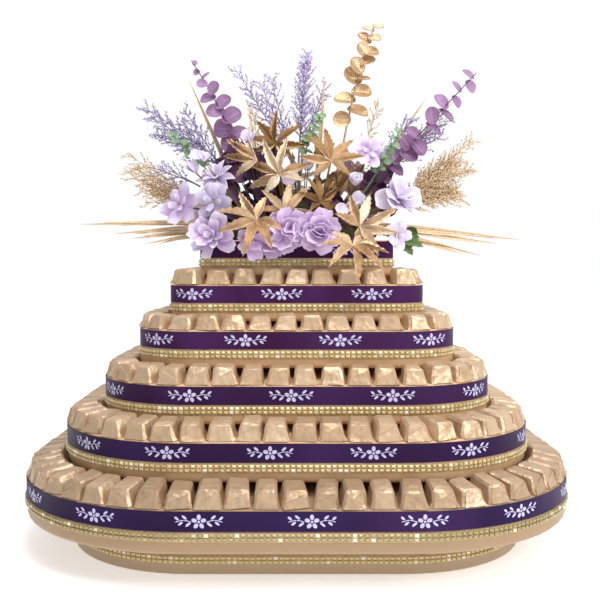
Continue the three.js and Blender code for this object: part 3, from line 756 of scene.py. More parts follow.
FINISHES = {
    "leatherette": leatherette(), "satin": satin(), "ink": ribbon_ink(), "gilt": gilt_backing(),
    "stones": cut_glass(), "foil": foil(), "moss": moss(), "floor": pale_floor(),
    "gold": gold_paint("gold_paint", (182, 145, 107), (230, 199, 160), (255, 247, 230)),
    "soft_gold": gold_paint("soft_gold_paint", (184, 148, 110), (214, 181, 141), (232, 205, 170)),
    "bronze": gold_paint("bronze_paint", (120, 88, 54), (166, 126, 82), (208, 172, 124)),
    "lilac": petal_silk("lilac_petals", (144, 104, 162), (193, 165, 210), (233, 221, 240)),
    "pale": petal_silk("pale_petals", (166, 142, 184), (208, 194, 220), (238, 230, 243)),
    "blue": petal_silk("blue_petals", (138, 118, 164), (178, 164, 198), (210, 200, 222)),
    "pink": petal_silk("pink_petals", (142, 94, 154), (192, 154, 204), (226, 206, 234)),
    "purple": leaf_green("purple_leaves", (96, 50, 90), (182, 146, 188), 16 * MM),
    "dusky": leaf_green("dusky_leaves", (58, 26, 56), (106, 62, 104), 9 * MM),
    "green": leaf_green("green_leaves", (100, 130, 95), (152, 178, 140), 8 * MM),
    "dark_green": leaf_green("dark_green_leaves", (84, 108, 62), (118, 142, 90), 10 * MM),
    "left_plume": bloom_dust("blue_plume_buds", (132, 122, 166), (206, 198, 224)),
    "centre_plume": bloom_dust("lilac_plume_buds", (164, 144, 200), (222, 210, 236)),
    "right_plume": bloom_dust("pale_plume_buds", (150, 136, 182), (218, 210, 232)),
    "plume_stem": bloom_dust("plume_stems", (128, 110, 146), (170, 154, 186)),
    "stalk": bloom_dust("olive_stalks", (84, 80, 54), (124, 116, 82)),
    "straw": bloom_dust("straw", (198, 166, 126), (238, 218, 186)),
    "twig": bloom_dust("brown_twigs", (104, 74, 50), (150, 114, 78)),
    "anther": bloom_dust("anthers", (196, 176, 110), (232, 222, 170)),
}


# Boxes

class Rim:
    """A rounded-rectangle outline, walked from the middle of its front towards the right."""

    def __init__(self, half_length, half_depth, radius, fan=0.0):
        self.half_length, self.half_depth, self.radius = half_length, half_depth, radius
        x, y = half_length - radius, half_depth - radius
        arc = (radius - fan) * math.pi / 2
        self.legs = [
            (x, (0, -y), (1, 0), -90, 0), (arc, (x, -y), (0, 0), -90, 90),
            (2 * y, (x, -y), (0, 1), 0, 0), (arc, (x, y), (0, 0), 0, 90),
            (2 * x, (x, y), (-1, 0), 90, 0), (arc, (-x, y), (0, 0), 90, 90),
            (2 * y, (-x, y), (0, -1), 180, 0), (arc, (-x, -y), (0, 0), 180, 90),
            (x, (-x, -y), (1, 0), 270, 0),
        ]
        self.length = sum(leg[0] for leg in self.legs)

    def grown(self, offset):
        return Rim(self.half_length + offset, self.half_depth + offset, max(MM, self.radius + offset))

    def at(self, way):
        """The point of the outline after so much of the way, and the direction out of it."""
        rest = way % self.length
        for length, corner, along, angle, turn in self.legs:
            if rest <= length:
                break
            rest -= length
        angle = math.radians(angle + turn * rest / length)
        out = Vector((math.cos(angle), math.sin(angle), 0))
        return Vector((corner[0] + along[0] * rest, corner[1] + along[1] * rest, 0)) + out * self.radius, out


def box_rim(name, fan=0.0):
    low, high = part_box(f"{name}_box")
    half = (high - low) / 2
    return Rim(half.x, half.y, max(LEAST_CORNER, half.x - CORNER_CENTRE), fan)


def plate(rim, z):
    """A flat plate of an outline, open for editing, with its edge at a height."""
    model = start("plane", size=2)
    resize(rim.half_length, rim.half_depth)
    bpy.ops.mesh.bevel(offset=rim.radius, segments=CORNER_STEPS, affect="VERTICES")
    pick_all()
    move(z=z)
    return model


def padded_box(name):
    rim = box_rim(name)
    low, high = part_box(f"{name}_box")
    bottom = max(low.z, high.z - BOX_HEIGHTS[name])
    model = plate(rim, high.z)
    extrude(bottom - high.z)
    pick("EDGE", lambda middle, normal: abs(middle.z - high.z) < NEAR)
    bpy.ops.mesh.bevel(offset=RIM_ROUND, segments=2, affect="EDGES")
    pick("EDGE", lambda middle, normal: abs(middle.z - bottom) < NEAR)
    bpy.ops.mesh.bevel(offset=UNDER_ROUND if name != "plinth" else RIM_ROUND, segments=3, affect="EDGES")
    if bottom - low.z > MM:
        pick("FACE", lambda middle, normal: normal.z < -ALONG and abs(middle.z - bottom) < NEAR)
        bpy.ops.mesh.inset(thickness=FOOT_INSET - UNDER_ROUND)
        extrude(low.z - bottom)
    soften(paint(close_model(model), "leatherette"))
    model.name = f"{name}_padding"
    hand_over(model, "leatherette", f"{name}_box")


def ring(rim, bottom, top):
    """A band round an outline, from a height up to another, without its two ends."""
    model = plate(rim, bottom)
    extrude(top - bottom)
    pick("FACE", lambda middle, normal: abs(normal.z) > ALONG)
    bpy.ops.mesh.delete(type="ONLY_FACE")
    pick_all()
    bpy.ops.mesh.normals_make_consistent(inside=False)
    return model


def satin_ribbon(name):
    low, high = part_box(f"{name}_ribbon")
    half = (high - low) / 2
    rim = box_rim(name).grown(half.x - box_rim(name).half_length)
    model = ring(rim, low.z, high.z)
    for height in (low.z + SELVEDGE, high.z - SELVEDGE):
        cut((0, 0, height), (0, 0, 1))
    pick("VERT", lambda place, normal: low.z + SELVEDGE / 2 < place.z < high.z - SELVEDGE / 2)
    resize(1 - RIBBON_DIP / rim.half_length, 1 - RIBBON_DIP / rim.half_depth)
    close_model(model, closed=False)
    modify(model, "SOLIDIFY", thickness=RIBBON_THICKNESS, offset=-1)
    soften(paint(model, "satin"), 50)
    model.name = f"{name}_satin"
    hand_over(model, "ribbon", f"{name}_ribbon")
    return rim, (low.z + high.z) / 2


def cut_stone(width, depth, height):
    """One square stone: its front cut to a table and slanted facets, its back open."""
    model = start("cube", size=1)
    resize(width, depth, height)
    move(y=-depth / 2)
    pick("EDGE", lambda middle, normal: middle.y < -0.9 * depth)
    bpy.ops.mesh.bevel(offset=STONE_CUT, segments=1, affect="EDGES")
    pick("FACE", lambda middle, normal: normal.y > ALONG)
    bpy.ops.mesh.delete(type="FACE")
    return Pattern(close_model(model, closed=False))


def outward(rim, way, z):
    """A placing on an outline: x along it, y into it and z up."""
    point, out = rim.at(way)
    return Matrix(((-out.y, -out.x, 0, point.x), (out.x, -out.y, 0, point.y), (0, 0, 1, z), (0, 0, 0, 1)))


def stone_trim(name, draw):
    low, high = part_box(f"{name}_trim")
    inner = box_rim(name).grown(STONE_BACKING)
    middle = (low.z + high.z) / 2
    backing = close_model(ring(inner, low.z, high.z), closed=False)
    modify(backing, "SOLIDIFY", thickness=STONE_BACKING / 2, offset=-1)
    soften(paint(backing, "gilt"))
    count = round(inner.length / STONE_PITCH)
    pitch = inner.length / count
    stone = cut_stone(pitch - STONE_GAP, STONE_PROUD, STONE_HEIGHT)
    copies = []
    for row in range(2):
        for number in range(count):
            place = outward(inner, (number + 0.5) * pitch, middle + (row - 0.5) * STONE_ROW)
            tilt = spin(draw.gauss(0, STONE_TILT), "X") @ spin(draw.gauss(0, STONE_TILT))
            copies.append((stone, by(place @ tilt), draw.random()))
    stones = strew(f"{name}_stones", copies, "stones")
    hand_over(join(f"{name}_stones", [stones, backing]), "trim", f"{name}_trim")


# The ribbon's print: a five-petal flower between two leafy twigs

def flat_oval(x, y, length, width, degrees):
    bpy.ops.mesh.primitive_circle_add(vertices=OVAL_CORNERS, radius=0.5 * MM, fill_type="NGON")
    resize(length, width)
    bpy.ops.transform.rotate(value=-math.radians(degrees), orient_axis="Z", center_override=(0, 0, 0))
    move(x * MM, y * MM)


def flower_print():
    model = start("circle", vertices=OVAL_CORNERS, radius=PRINT_HEART * MM, fill_type="NGON")
    for petal in range(PRINT_PETALS):
        angle = 90 + 360 / PRINT_PETALS * petal
        reach = Vector((math.cos(math.radians(angle)), math.sin(math.radians(angle)))) * PRINT_REACH
        flat_oval(reach.x, reach.y, *PRINT_PETAL, angle)
    middle = (PRINT_LEAVES - 1) / 2
    for side in (-1, 1):
        for leaf in range(PRINT_LEAVES):
            x, up = PRINT_START + PRINT_STEP * leaf, 1 if leaf % 2 else -1
            y = PRINT_ARCH[0] - PRINT_ARCH[1] * (leaf - middle) ** 2 / middle ** 2
            shift, stand = PRINT_LEAF_SHIFT
            length, width = PRINT_LEAF
            lean = side * PRINT_LEAN * up
            flat_oval(side * (x + shift), y + stand * up, length - PRINT_SHRINK * leaf, width, lean)
            flat_oval(side * x, y, *PRINT_TWIG, side * (PRINT_TURN[0] - PRINT_TURN[1] * leaf))
    return Pattern(close_model(model, closed=False))


def wrapped(rim, way, z):
    """A placing that lays a flat print on an outline."""
    def place(points):
        spots = [(rim.at(way + x), z + y) for x, y, _ in points]
        return np.array([(point.x, point.y, height) for (point, _), height in spots])
    return place


def ribbon_print(name, rim, z, pattern):
    outside = rim.grown(PRINT_PROUD)
    count = round(outside.length / PRINT_PITCH)
    copies = [(pattern, wrapped(outside, PRINT_PHASES[name] + number * outside.length / count, z), 0)
              for number in range(count)]
    piece = strew(f"{name}_print", copies, "ink")
    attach(piece, "root")


# Pralines

def wrapped_bar(seed, height):
    """One foil-wrapped bar: its front end at y = 0, its length along +Y, its base at z = 0."""
    draw = random.Random(seed)
    middle = (0, BAR_LENGTH / 2, 0)
    model = start("cube", size=1)
    resize(BAR_BASE, BAR_LENGTH, height)
    move(y=BAR_LENGTH / 2, z=height / 2)
    pick("VERT", lambda place, normal: place.z > height / 2)
    resize(BAR_TOP / BAR_BASE, 1 - 2 * BAR_END_SLOPE / BAR_LENGTH, about=middle)
    move(x=draw.uniform(-BAR_LEAN, BAR_LEAN))
    pick("EDGE", lambda place, normal: place.z > NEAR)
    bpy.ops.mesh.bevel(offset=BAR_ROUND, segments=1, affect="EDGES")
    cut((0, 0, BAR_SKIRT), (0, 0, 1))
    pick("VERT", lambda place, normal: place.z < NEAR and abs(place.y - middle[1]) > 0.3 * BAR_LENGTH)
    resize(*BAR_FLARE, about=middle)
    apex = Vector((draw.uniform(-FLAP_SHIFT, FLAP_SHIFT) * MM, 0, draw.uniform(*FLAP_RISE) * height))
    for side in (-1, 1):
        along = apex - Vector((side * BAR_FLAP, 0, 0))
        pick("FACE", lambda place, normal: normal.y < BAR_FRONT and abs(place.x) < BAR_FLAP)
        bpy.ops.mesh.bisect(plane_co=apex, plane_no=(along.z, 0, -along.x))
    pick("FACE", lambda place, normal: normal.y < BAR_FRONT and abs(place.x) < BAR_FLAP and (
        place.z / apex.z < 1 - abs(place.x - apex.x) / (BAR_FLAP + math.copysign(apex.x, apex.x - place.x))))
    bpy.ops.mesh.extrude_region_move(TRANSFORM_OT_translate={"value": (0, -FLAP_THICKNESS, 0)})
    pick("VERT", lambda place, normal: place.z < NEAR and abs(place.x) > 0.4 * BAR_BASE)
    bpy.ops.transform.vertex_random(offset=CORNER_CRUMPLE, seed=seed)
    pick("VERT", lambda place, normal: place.z > NEAR)
    bpy.ops.transform.vertex_random(offset=BAR_CRUMPLE, seed=seed + 1)
    return Pattern(close_model(model))


def seated(rim, way, pitch, length, height, fall, floor, draw):
    """A placing of a bar on a rim: as long as its ledge, narrowed where the bars fan in, its top falling
    to the front, a little askew."""
    point, out = rim.at(way)
    across, inward = Vector((-out.y, out.x, 0)), -out
    ends = [rim.at(way + side * pitch / 2) for side in (-1, 1)]
    rooms = [(ends[1][0] - ends[1][1] * depth - ends[0][0] + ends[0][1] * depth).length
             for depth in (0, length)]
    askew = by(spin(draw.gauss(0, BAR_TURN)) @ spin(draw.gauss(0, BAR_NOD), "X")
               @ Matrix.Diagonal((draw.uniform(*BAR_WIDTHS), 1, height * draw.uniform(*BAR_STRETCH), 1)))
    slide = BAR_SETBACK + draw.uniform(-BAR_SLIDE, BAR_SLIDE) * MM

    def place(points):
        local = askew(points)
        local[points[:, 1] > 0.6 * BAR_LENGTH, 1] += length - BAR_LENGTH
        depth = np.clip(local[:, 1] / length, 0, 1)
        local[:, 0] *= np.minimum(1, (rooms[0] + (rooms[1] - rooms[0]) * depth) / BAR_BASE)
        local[:, 1] += slide
        local[:, 2] = np.maximum(local[:, 2], 0) * (1 + fall * (depth - 0.5))
        return np.array((point.x, point.y, floor)) + local @ np.array((across, inward, (0, 0, 1)))
    return place


def praline_ring(number, bars, draw):
    low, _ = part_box(f"pralines_{number + 1}")
    rim = box_rim(TIERS[number], BAR_FAN)
    length = rim.half_length - box_rim(TIERS[number + 1]).half_length - BAR_BACK_GAP
    pitch = rim.length / BAR_COUNTS[number]
    copies = []
    for bar in range(BAR_COUNTS[number]):
        way = BAR_PHASES[number] + bar * pitch
        place = seated(rim, way, pitch, length, BAR_HEIGHTS[number], BAR_FALLS[number], low.z, draw)
        copies.append((draw.choice(bars), place, draw.random()))
    piece = soften(strew(f"wrapped_pralines_{number + 1}", copies, "foil"), FOIL_ANGLE)
    hand_over(piece, "foil", f"pralines_{number + 1}")


# Leaves and petals

def blade(columns, outline, fold=0.0, curl=0.0, ruffle=0.0, seed=0, cup=2):
    """A leaf or petal one unit long and wide, along +Y, cupped or creased at its rib, its tip curled up."""
    rows = len(outline) - 1
    model = start("grid", x_subdivisions=columns, y_subdivisions=rows, size=1)
    move(y=0.5)
    for column in range(1, columns // 2 + 1):
        side = column / columns
        pick("VERT", lambda place, normal: abs(abs(place.x) - side) < 0.01)
        move(z=fold * 0.5 * (2 * side) ** cup)
    for row, width in enumerate(outline):
        share = row / rows
        pick("VERT", lambda place, normal: abs(place.y - share) < 0.02)
        resize(max(width, 0.0001), 1, max(width, 0.0001), about=(0, share, 0))
        move(z=curl * share * share)
    if ruffle:
        pick("VERT", lambda place, normal: place.y > 0.55)
        bpy.ops.transform.vertex_random(offset=ruffle, seed=seed)
    pick_all()
    bpy.ops.mesh.remove_doubles(threshold=0.002)
    bpy.ops.object.mode_set(mode="OBJECT")
    return Pattern(model)


SAW_EDGE = (0.16, 0.3, 0.5, 0.74, 0.92, 1.0, 0.87, 0.95, 0.67, 0.76, 0.42, 0.5, 0.18, 0.0)
LOBE = blade(4, SAW_EDGE, 0.62, -0.2, cup=1)
BROAD_PETALS = [blade(6, (0.22, 0.5, 0.8, 0.97, 1.0, 0.86, 0.5), 0.3, 0.04, 0.05, seed) for seed in range(3)]
DOMED_PETALS = [blade(6, (0.3, 0.6, 0.86, 1.0, 0.98, 0.8, 0.45), -0.2, -0.1, 0.1, seed) for seed in range(3)]
FRILLED_PETALS = [blade(6, (0.25, 0.55, 0.85, 1.0, 1.02, 0.92, 0.62), 0.25, 0.1, 0.11, seed)
                  for seed in range(3)]
SLIM_PETALS = [blade(4, (0.2, 0.45, 0.8, 1.0, 0.9, 0.55, 0.05), 0.4, 0.1, 0.02, seed) for seed in range(2)]
ROUND_LEAF = blade(4, (0.0, 0.66, 0.9, 1.0, 0.97, 0.78, 0.0), 0.3, 0.06)
REED = blade(2, (0.6, 0.9, 1.0, 0.95, 0.85, 0.7, 0.5, 0.28, 0.0), 0.5, -0.02)
PETALS = {
    "open": DOMED_PETALS, "small": DOMED_PETALS, "double": FRILLED_PETALS, "star": SLIM_PETALS,
    "ruffled": FRILLED_PETALS, "frilled": FRILLED_PETALS, "bud": BROAD_PETALS,
}


def seed_grain():
    """A small bud or seed, one unit long, along +Y."""
    model = start("ico_sphere", subdivisions=1, radius=0.5)
    move(y=0.5)
    resize(0.62, 1, 0.62)
    return Pattern(close_model(model))


GRAIN = seed_grain()
# How each form of filler is shaped: its patterns, its width and its height against its length.
FILLER_FORMS = {
    "leaf": ([ROUND_LEAF], 0.7, 1), "lobe": ([LOBE], 0.3, 0.5),
    "petal": (BROAD_PETALS, 0.85, 1), "frill": (FRILLED_PETALS, 1, 1),
}


def foam_exit(target):
    """Where a stem that reaches for a target leaves the foam mound, in millimetres."""
    target, middle = Vector(target), Vector((0, 0, FOAM_BASE))
    reach = Vector(max(-side, min(side, value)) for side, value in zip(FOAM, target))
    root = Vector((STEM_ROOT.x * reach.x, STEM_ROOT.y * reach.y, FOAM_BASE + STEM_ROOT.z * FOAM.z))
    from_middle, way = ([v / side for v, side in zip(part, FOAM)] for part in (root - middle, target - root))
    a = sum(v * v for v in way)
    b = sum(v * w for v, w in zip(from_middle, way))
    c = sum(v * v for v in from_middle) - 1
    return root + (target - root) * ((math.sqrt(b * b - a * c) - b) / a)


def bent_line(start_at, bend, end, radii, steps=8):
    """A line with one bend, as points with a radius each."""
    first, middle, last = Vector(start_at), Vector(bend), Vector(end)
    line = []
    for step in range(steps + 1):
        share = step / steps
        place = first * (1 - share) ** 2 + middle * 2 * share * (1 - share) + last * share ** 2
        line.append((place, radii[0] + (radii[1] - radii[0]) * share))
    return line


def straight_line(first, last, radii, steps=8):
    return bent_line(first, (Vector(first) + Vector(last)) / 2, last, radii, steps)


def stem_line(target, draw):
    """A stem from the foam to a target, with a slight bend."""
    foot = foam_exit(target)
    bend = (foot + Vector(target)) / 2 + stray(draw, STEM_BEND)
    return bent_line(foot, bend, target, STEM_RADII)


def lobed_leaf(name, leaf, lobes, width, finish, stem_finish, draw):
    """A leaf of folded lobes round one centre, each with its own lean, on its stem."""
    at, face, lead, radius = leaf
    middle = facing(at, face, lead)
    copies = []
    for angle, length in lobes:
        reach = radius * length * draw.uniform(*LOBE_LENGTHS)
        turn = spin(angle + draw.uniform(-LOBE_SWING, LOBE_SWING)) @ spin(draw.uniform(*LOBE_RISE), "X")
        turn = turn @ spin(draw.gauss(0, LOBE_ROLL), "Y")
        place = by(middle @ turn @ sized(width * radius, reach, LOBE_FOLD * reach))
        copies.append((LOBE, place, draw.random()))
    sheet = thin_sheet(name, copies, finish, LEAF_THICKNESS, CREASED)
    back = Vector(at) - Vector(face).normalized() * LEAF_THICKNESS
    return join(name, [sheet, stems(f"{name}_stalk", [stem_line(back, draw)], stem_finish)])


def blossom(number, heads, face, kind, colour, draw):
    """One to three heads of petal rings with their anthers, on one stem."""
    copies, anthers, centres = [], [], []
    swing = PETAL_SWING.get(kind, LEAST_SWING)
    for at, radius in heads:
        middle = facing(at, face, (0, 0, 1))
        centres.append(Vector(at) - Vector(face).normalized() * HEAD_DEPTH)
        for layer, (count, length, broad, rise) in enumerate(PETAL_RINGS[kind]):
            offset = draw.uniform(0, 360 / count)
            for petal in range(count):
                reach = radius * length * draw.uniform(*PETAL_LENGTHS)
                width = reach * broad * draw.uniform(*PETAL_WIDTHS)
                angle = offset + 360 * petal / count + draw.uniform(-swing, swing)
                turn = spin(angle) @ spin(rise + draw.uniform(-swing, swing), "X")
                turn = turn @ spin(draw.gauss(0, swing), "Y")
                lift = Matrix.Translation((0, 0, RING_LIFT * layer * MM))
                place = by(middle @ lift @ turn @ sized(width, reach, reach))
                copies.append((draw.choice(PETALS[kind]), place, draw.random()))
        for stamen in range(STAMENS):
            angle = STAMEN_TURN * stamen + draw.uniform(-STAMEN_SWING, STAMEN_SWING)
            turn = spin(angle) @ spin(draw.uniform(*STAMEN_RISE), "X")
            place = by(middle @ turn @ sized(STAMEN_WIDTH, STAMEN_LENGTH * radius, STAMEN_WIDTH))
            anthers.append((GRAIN, place, draw.random()))
    name = f"blossom_{number}_petals"
    sheet = thin_sheet(name, copies, colour, PETAL_THICKNESS, SMOOTH, rounded=True)
    middles = strew(f"{name}_anthers", anthers, "anther")
    lines = [stem_line(centres[0], draw)]
    lines += [straight_line(centres[0], centre, (1, 1)) for centre in centres[1:]]
    stalk = stems(f"{name}_stalk", lines, "stalk")
    hand_over(join(name, [sheet, middles, stalk]), "blossom", f"blossom_{number}")


def leafy_spray(name, spray, finish, draw):
    """A bent stem with round leaves that lie across it to either side, smaller towards the tip."""
    bend, tip, first, count, size, taper = spray
    line = bent_line(foam_exit(bend), bend, tip, SPRAY_RADII, SPRAY_STEPS)
    copies = []
    for number in range(count):
        share = number / (count - 1)
        shifted = min(1, max(0, share + draw.uniform(-SPRAY_SHIFT, SPRAY_SHIFT) / count))
        way = SPRAY_STEPS * (first + (SPRAY_END - first) * shifted)
        step = int(way)
        at = line[step][0].lerp(line[step + 1][0], way - step)
        along = (line[step + 1][0] - line[step][0]).normalized()
        side = Vector((along.z, 0, -along.x)) * (1 if number % 2 else -1)
        lead = side + along * draw.uniform(*SPRAY_LEAD)
        face = along * draw.uniform(*SPRAY_FACE) + SPRAY_FRONT + stray(draw, 0.3)
        length = SPRAY_LEAF * size * (1 - taper * share ** 2) * draw.uniform(*SPRAY_LENGTHS)
        at -= side * SPRAY_OVERLAP * length
        place = by(facing(at, face, lead) @ sized(SPRAY_WIDTH * length, length, length))
        copies.append((ROUND_LEAF, place, 0.8 * share + draw.uniform(0, 0.2)))
    sheet = thin_sheet(name, copies, finish, LEAF_THICKNESS, SMOOTH, rounded=True)
    return join(name, [sheet, stems(f"{name}_stem", [line], finish)])


def twigged_arm(start_at, end, kind, twigs, draw):
    """An arm with twigs all round it and grains along each: gives its lines and its grains."""
    first, last = Vector(start_at), Vector(end)
    along = (last - first).normalized()
    side = along.orthogonal().normalized()
    sag = Vector((0, 0, ARM_SAG * (last - first).length))
    lines, grains = [bent_line(first, (first + last) / 2 + sag, last, ARM_RADII)], []
    for twig in range(twigs):
        share = TWIG_START + TWIG_SPAN * twig / twigs
        base = first.lerp(last, share) + sag * 2 * share * (1 - share)
        out = Matrix.Rotation(TWIG_TURN * twig + draw.uniform(-0.4, 0.4), 3, along) @ side
        out.y *= TWIG_DEPTH
        length = kind["length"] * (1.1 - 0.7 * share) * draw.uniform(*TWIG_LENGTHS)
        tip = base + (along * 0.9 + out * kind["spread"]).normalized() * length
        lines.append(list(zip((base, base.lerp(tip, 0.5) + out * 0.6, tip), TWIG_RADII)))
        for number in range(kind["grains"]):
            at = base.lerp(tip, (number + 1.2) / (kind["grains"] + 0.2))
            at += stray(draw, 0.7)
            lean = (tip - base).normalized() + stray(draw, 0.8)
            size = kind["size"] * draw.uniform(*GRAIN_SIZES)
            wide = size * kind["width"]
            place = by(facing(at, lean.orthogonal(), lean) @ sized(wide, size, wide))
            grains.append((GRAIN, place, draw.random()))
    return lines, grains


def bushy_arms(fork, foot, tips, kind, twigs, draw):
    """The arms to all tips of a fork, each with thinner ones beside it."""
    lines, grains = [], []
    for number, tip in enumerate(tips):
        origin = Vector(fork).lerp(foot, number * ARM_STAGGER)
        ends = [Vector(tip)]
        for _ in range(kind["beside"]):
            between = Vector(tip).lerp(Vector(tips[(number + 1) % len(tips)]), draw.uniform(*BESIDE_SHARES))
            ends.append(origin.lerp(between, draw.uniform(*BESIDE_REACHES)) + stray(draw, BESIDE_STRAY))
        for end in ends:
            arm = twigged_arm(origin, end, kind, twigs, draw)
            lines += arm[0]
            grains += arm[1]
    return lines, grains


def plume(side, forks, draw):
    name = f"plume_{side}"
    lines, grains = [], []
    foot = foam_exit(forks[0][0])
    for fork, tips, twigs in forks:
        lines.append(straight_line(foot, fork, TRUNK_RADII))
        arms = bushy_arms(fork, foot, tips, PLUME, twigs, draw)
        lines += arms[0]
        grains += arms[1]
    buds = soften(strew(f"{name}_buds", grains, f"{side}_plume"), SMOOTH)
    stalk = stems(f"{name}_stems", lines, "plume_stem")
    hand_over(join(f"{name}_buds", [buds, stalk]), "plume", name)


def reed(origin, way, face, width, draw):
    """One long blade from its foot along its way, square to it."""
    square = face - way * face.dot(way) / way.length_squared
    return REED, by(facing(origin, square, way) @ sized(width, way.length, width)), draw.random()


def dried_grass(side, draw):
    fork, tips = GRASSES[side]
    reed_fork, reed_tips = REEDS[side]
    foot = foam_exit(reed_fork)
    lines = [straight_line(foot, at, TRUNK_RADII) for at in (fork, reed_fork)]
    arms = bushy_arms(fork, foot, tips, GRASS, GRASS_TWIGS[side], draw)
    feather = twigged_arm(foam_exit(FEATHERS[side]), FEATHERS[side], GRASS, FEATHER_TWIGS, draw)
    lines += arms[0] + feather[0]
    blades = []
    for number, tip in enumerate(reed_tips):
        origin = Vector(reed_fork).lerp(foot, REED_START) + REED_STEP * number
        lines.append(straight_line(foot, origin, (1, 0.9)))
        bend = origin.lerp(Vector(tip), 0.5) + Vector((0, 0, 2))
        lines.append(bent_line(origin, bend, tip, (0.9, 0.25), 12))
        for reach, width in REED_BLADES:
            way = (Vector(tip) - origin) * reach + stray(draw, 2.5 if reach < 0.9 else 0)
            blades.append(reed(origin, way, Vector((0, -0.8, 0.6)) + stray(draw, 0.4), width, draw))
    for tip in STRAWS[side]:
        exit_at = foam_exit(tip)
        blades.append(reed(exit_at, Vector(tip) - exit_at, Vector((0, -1, 0.2)), STRAW_WIDTH, draw))
    leaves = thin_sheet(f"dried_grass_{side}_blades", blades, "straw", PETAL_THICKNESS, CREASED)
    name = f"dried_grass_{side}_seeds"
    seeds = soften(strew(name, arms[1] + feather[1], "straw"), SMOOTH)
    stalk = stems(f"dried_grass_{side}_stems", lines, "straw")
    hand_over(join(name, [seeds, stalk, leaves]), "dried_grass", f"dried_grass_{side}")


def mossy_mound(draw):
    """The foam with its moss, short dark leaves, fillers, middle sprig and side leaf."""
    model = start("uv_sphere", segments=40, ring_count=24, radius=1)
    cut((0, 0, 0), (0, 0, 1))
    pick("VERT", lambda place, normal: place.z < -0.001)
    bpy.ops.mesh.delete(type="VERT")
    pick("EDGE", lambda place, normal: place.z < 0.001)
    bpy.ops.mesh.edge_face_add()
    pick_all()
    resize(*(FOAM * MM))
    pick("VERT", lambda place, normal: place.z > MM)
    bpy.ops.transform.vertex_random(offset=MOSS_DEPTH, seed=MOSS_SEED)
    pick_all()
    move(z=FOAM_BASE * MM)
    mound = soften(paint(close_model(model), "moss"), SMOOTH)
    copies = []
    for _ in range(MOUND_LEAVES):
        turn, rise = draw.uniform(0, 2 * math.pi), math.asin(draw.uniform(0.02, 0.98))
        out = Vector((math.cos(turn) * math.cos(rise), math.sin(turn) * math.cos(rise), math.sin(rise)))
        at = Vector((out.x * FOAM.x, out.y * FOAM.y, FOAM_BASE + out.z * FOAM.z))
        length = draw.uniform(*MOUND_LEAF_LENGTHS)
        lead = Vector((out.x, out.y, out.z + 0.5)) + stray(draw, 0.7)
        place = facing(at, out + Vector((0, 0, 0.3)), lead) @ spin(draw.uniform(*MOUND_LEAF_RISE), "X")
        copies.append((ROUND_LEAF, by(place @ sized(0.6 * length, length, length)), draw.random()))
    filler, lines = {"dusky": copies}, []
    for low, high, form, finish, count, size in FILLERS:
        patterns, width, height = FILLER_FORMS[form]
        for _ in range(count):
            at = Vector([draw.uniform(*ends) for ends in zip(low, high)])
            foot = foam_exit(at)
            lines.append(straight_line(foot, at, FILLER_RADII, 3))
            face = Vector((draw.uniform(-0.7, 0.7), math.copysign(1, at.y), draw.uniform(-0.1, 0.9)))
            lead = (at - foot).normalized() + Vector((0, 0, 0.4)) + stray(draw, 0.5)
            length = size * draw.uniform(*FILLER_LENGTHS)
            place = by(facing(at, face, lead) @ sized(width * length, length, height * length))
            filler.setdefault(finish, []).append((draw.choice(patterns), place, draw.random()))
    pieces = [mound, stems("filler_stems", lines, "twig")]
    pieces.append(leafy_spray("centre_sprig", CENTRE_SPRIG, "green", draw))
    pieces.append(lobed_leaf("side_leaf", SIDE_LEAF, SIDE_LOBES, SIDE_LOBE_WIDTH, "gold", "bronze", draw))
    pieces += [thin_sheet(f"{finish}_filler", leaves, finish, LEAF_THICKNESS, 40)
               for finish, leaves in filler.items()]
    hand_over(join("mossy_mound", pieces), "foam", "flower_foam")


# The tower, from its boxes up to its flowers

def build_boxes():
    draw = random.Random(BOX_SEED)
    pattern = flower_print()
    for name in BOXES:
        padded_box(name)
        rim, z = satin_ribbon(name)
        ribbon_print(name, rim, z, pattern)
        stone_trim(name, draw)


def build_pralines():
    draw = random.Random(BAR_SEED)
    low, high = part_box("pralines_1")
    bars = [wrapped_bar(seed, high.z - low.z) for seed in range(BAR_VARIANTS)]
    for number in range(len(BAR_COUNTS)):
        praline_ring(number, bars, draw)


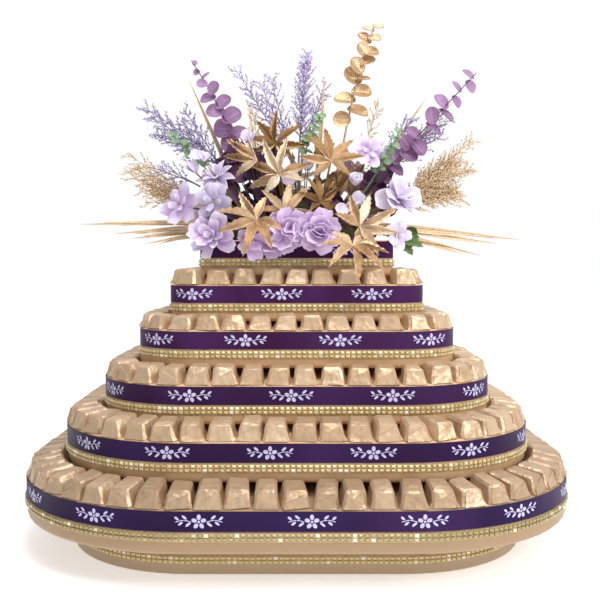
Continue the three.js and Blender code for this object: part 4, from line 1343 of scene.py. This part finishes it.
def build_flowers():
    draw = random.Random(FLOWER_SEED)
    mossy_mound(draw)
    for number, leaf in enumerate(GOLD_LEAVES, 1):
        finish = LEAF_FINISHES.get(number, "gold")
        piece = lobed_leaf(f"gold_leaf_{number}_lobes", leaf, LOBES, LOBE_WIDTH, finish, "bronze", draw)
        hand_over(piece, "gold_leaf", f"gold_leaf_{number}")
    for number, (heads, face, kind, colour) in enumerate(BLOSSOMS, 1):
        blossom(number, heads, face, kind, colour, draw)
    for side, spray in EUCALYPTUS.items():
        finish, slot = ("soft_gold", "gold_leaf") if side == "gold" else ("purple", "purple_leaf")
        hand_over(leafy_spray(f"eucalyptus_{side}_leaves", spray, finish, draw), slot, f"eucalyptus_{side}")
    for side, spray in SPRIGS.items():
        piece = leafy_spray(f"sprig_{side}_leaves", spray, "green", draw)
        hand_over(piece, "green_leaf", f"sprig_{side}")
    for side, forks in PLUMES.items():
        plume(side, forks, draw)
    for side in GRASSES:
        dried_grass(side, draw)
    finish = "dark_green"
    piece = lobed_leaf("dark_leaf_lobes", GREEN_LEAF, GREEN_LOBES, GREEN_LOBE_WIDTH, finish, finish, draw)
    hand_over(piece, "green_leaf", "green_leaf")


# The stage

def build_stage():
    bpy.ops.object.select_all(action="DESELECT")
    bpy.ops.mesh.primitive_plane_add(size=FLOOR_SIZE)
    floor = paint(bpy.context.object, "floor")
    floor.name = "pale_floor"
    world = bpy.context.scene.world or bpy.data.worlds.new("studio")
    bpy.context.scene.world = world
    world.use_nodes = True
    room = Graph(world.node_tree, "Background")
    direction = room.node("ShaderNodeTexCoord", out="Generated")
    across = room.node("ShaderNodeSeparateXYZ", None, {0: direction}, out="X")
    depth = room.node("ShaderNodeSeparateXYZ", None, {0: direction}, out="Y")
    glow = room.step(depth, -0.5, 0.5, ROOM_FRONT, ROOM_BACK) * room.step(across, -0.9, 0.1, ROOM_LEFT, 1)
    seen = room.node("ShaderNodeLightPath", out="Is Camera Ray")
    room.set("Color", (1, 1, 1, 1))
    room.set("Strength", glow + seen * (1 - glow))
    for name, place, aim, size, power in LIGHTS:
        light = bpy.data.objects.new(name, bpy.data.lights.new(name, "AREA"))
        light.data.size = size
        light.data.energy = power
        light.location = place
        light.rotation_euler = (Vector(aim) - Vector(place)).to_track_quat("-Z", "Y").to_euler()
        bpy.context.collection.objects.link(light)


def build_camera():
    camera = bpy.data.objects.new("camera", bpy.data.cameras.new("camera"))
    camera.data.sensor_width = SENSOR_MM
    camera.data.lens = SENSOR_MM * FOCAL_PIXELS / PICTURE_PIXELS
    camera.location = CAMERA_PLACE
    camera.rotation_euler = (math.radians(90 - CAMERA_PITCH), 0, 0)
    bpy.context.collection.objects.link(camera)
    bpy.context.scene.camera = camera
    bpy.context.scene.view_settings.view_transform = "Standard"


build_camera()
build_stage()
build_boxes()
build_pralines()
build_flowers()
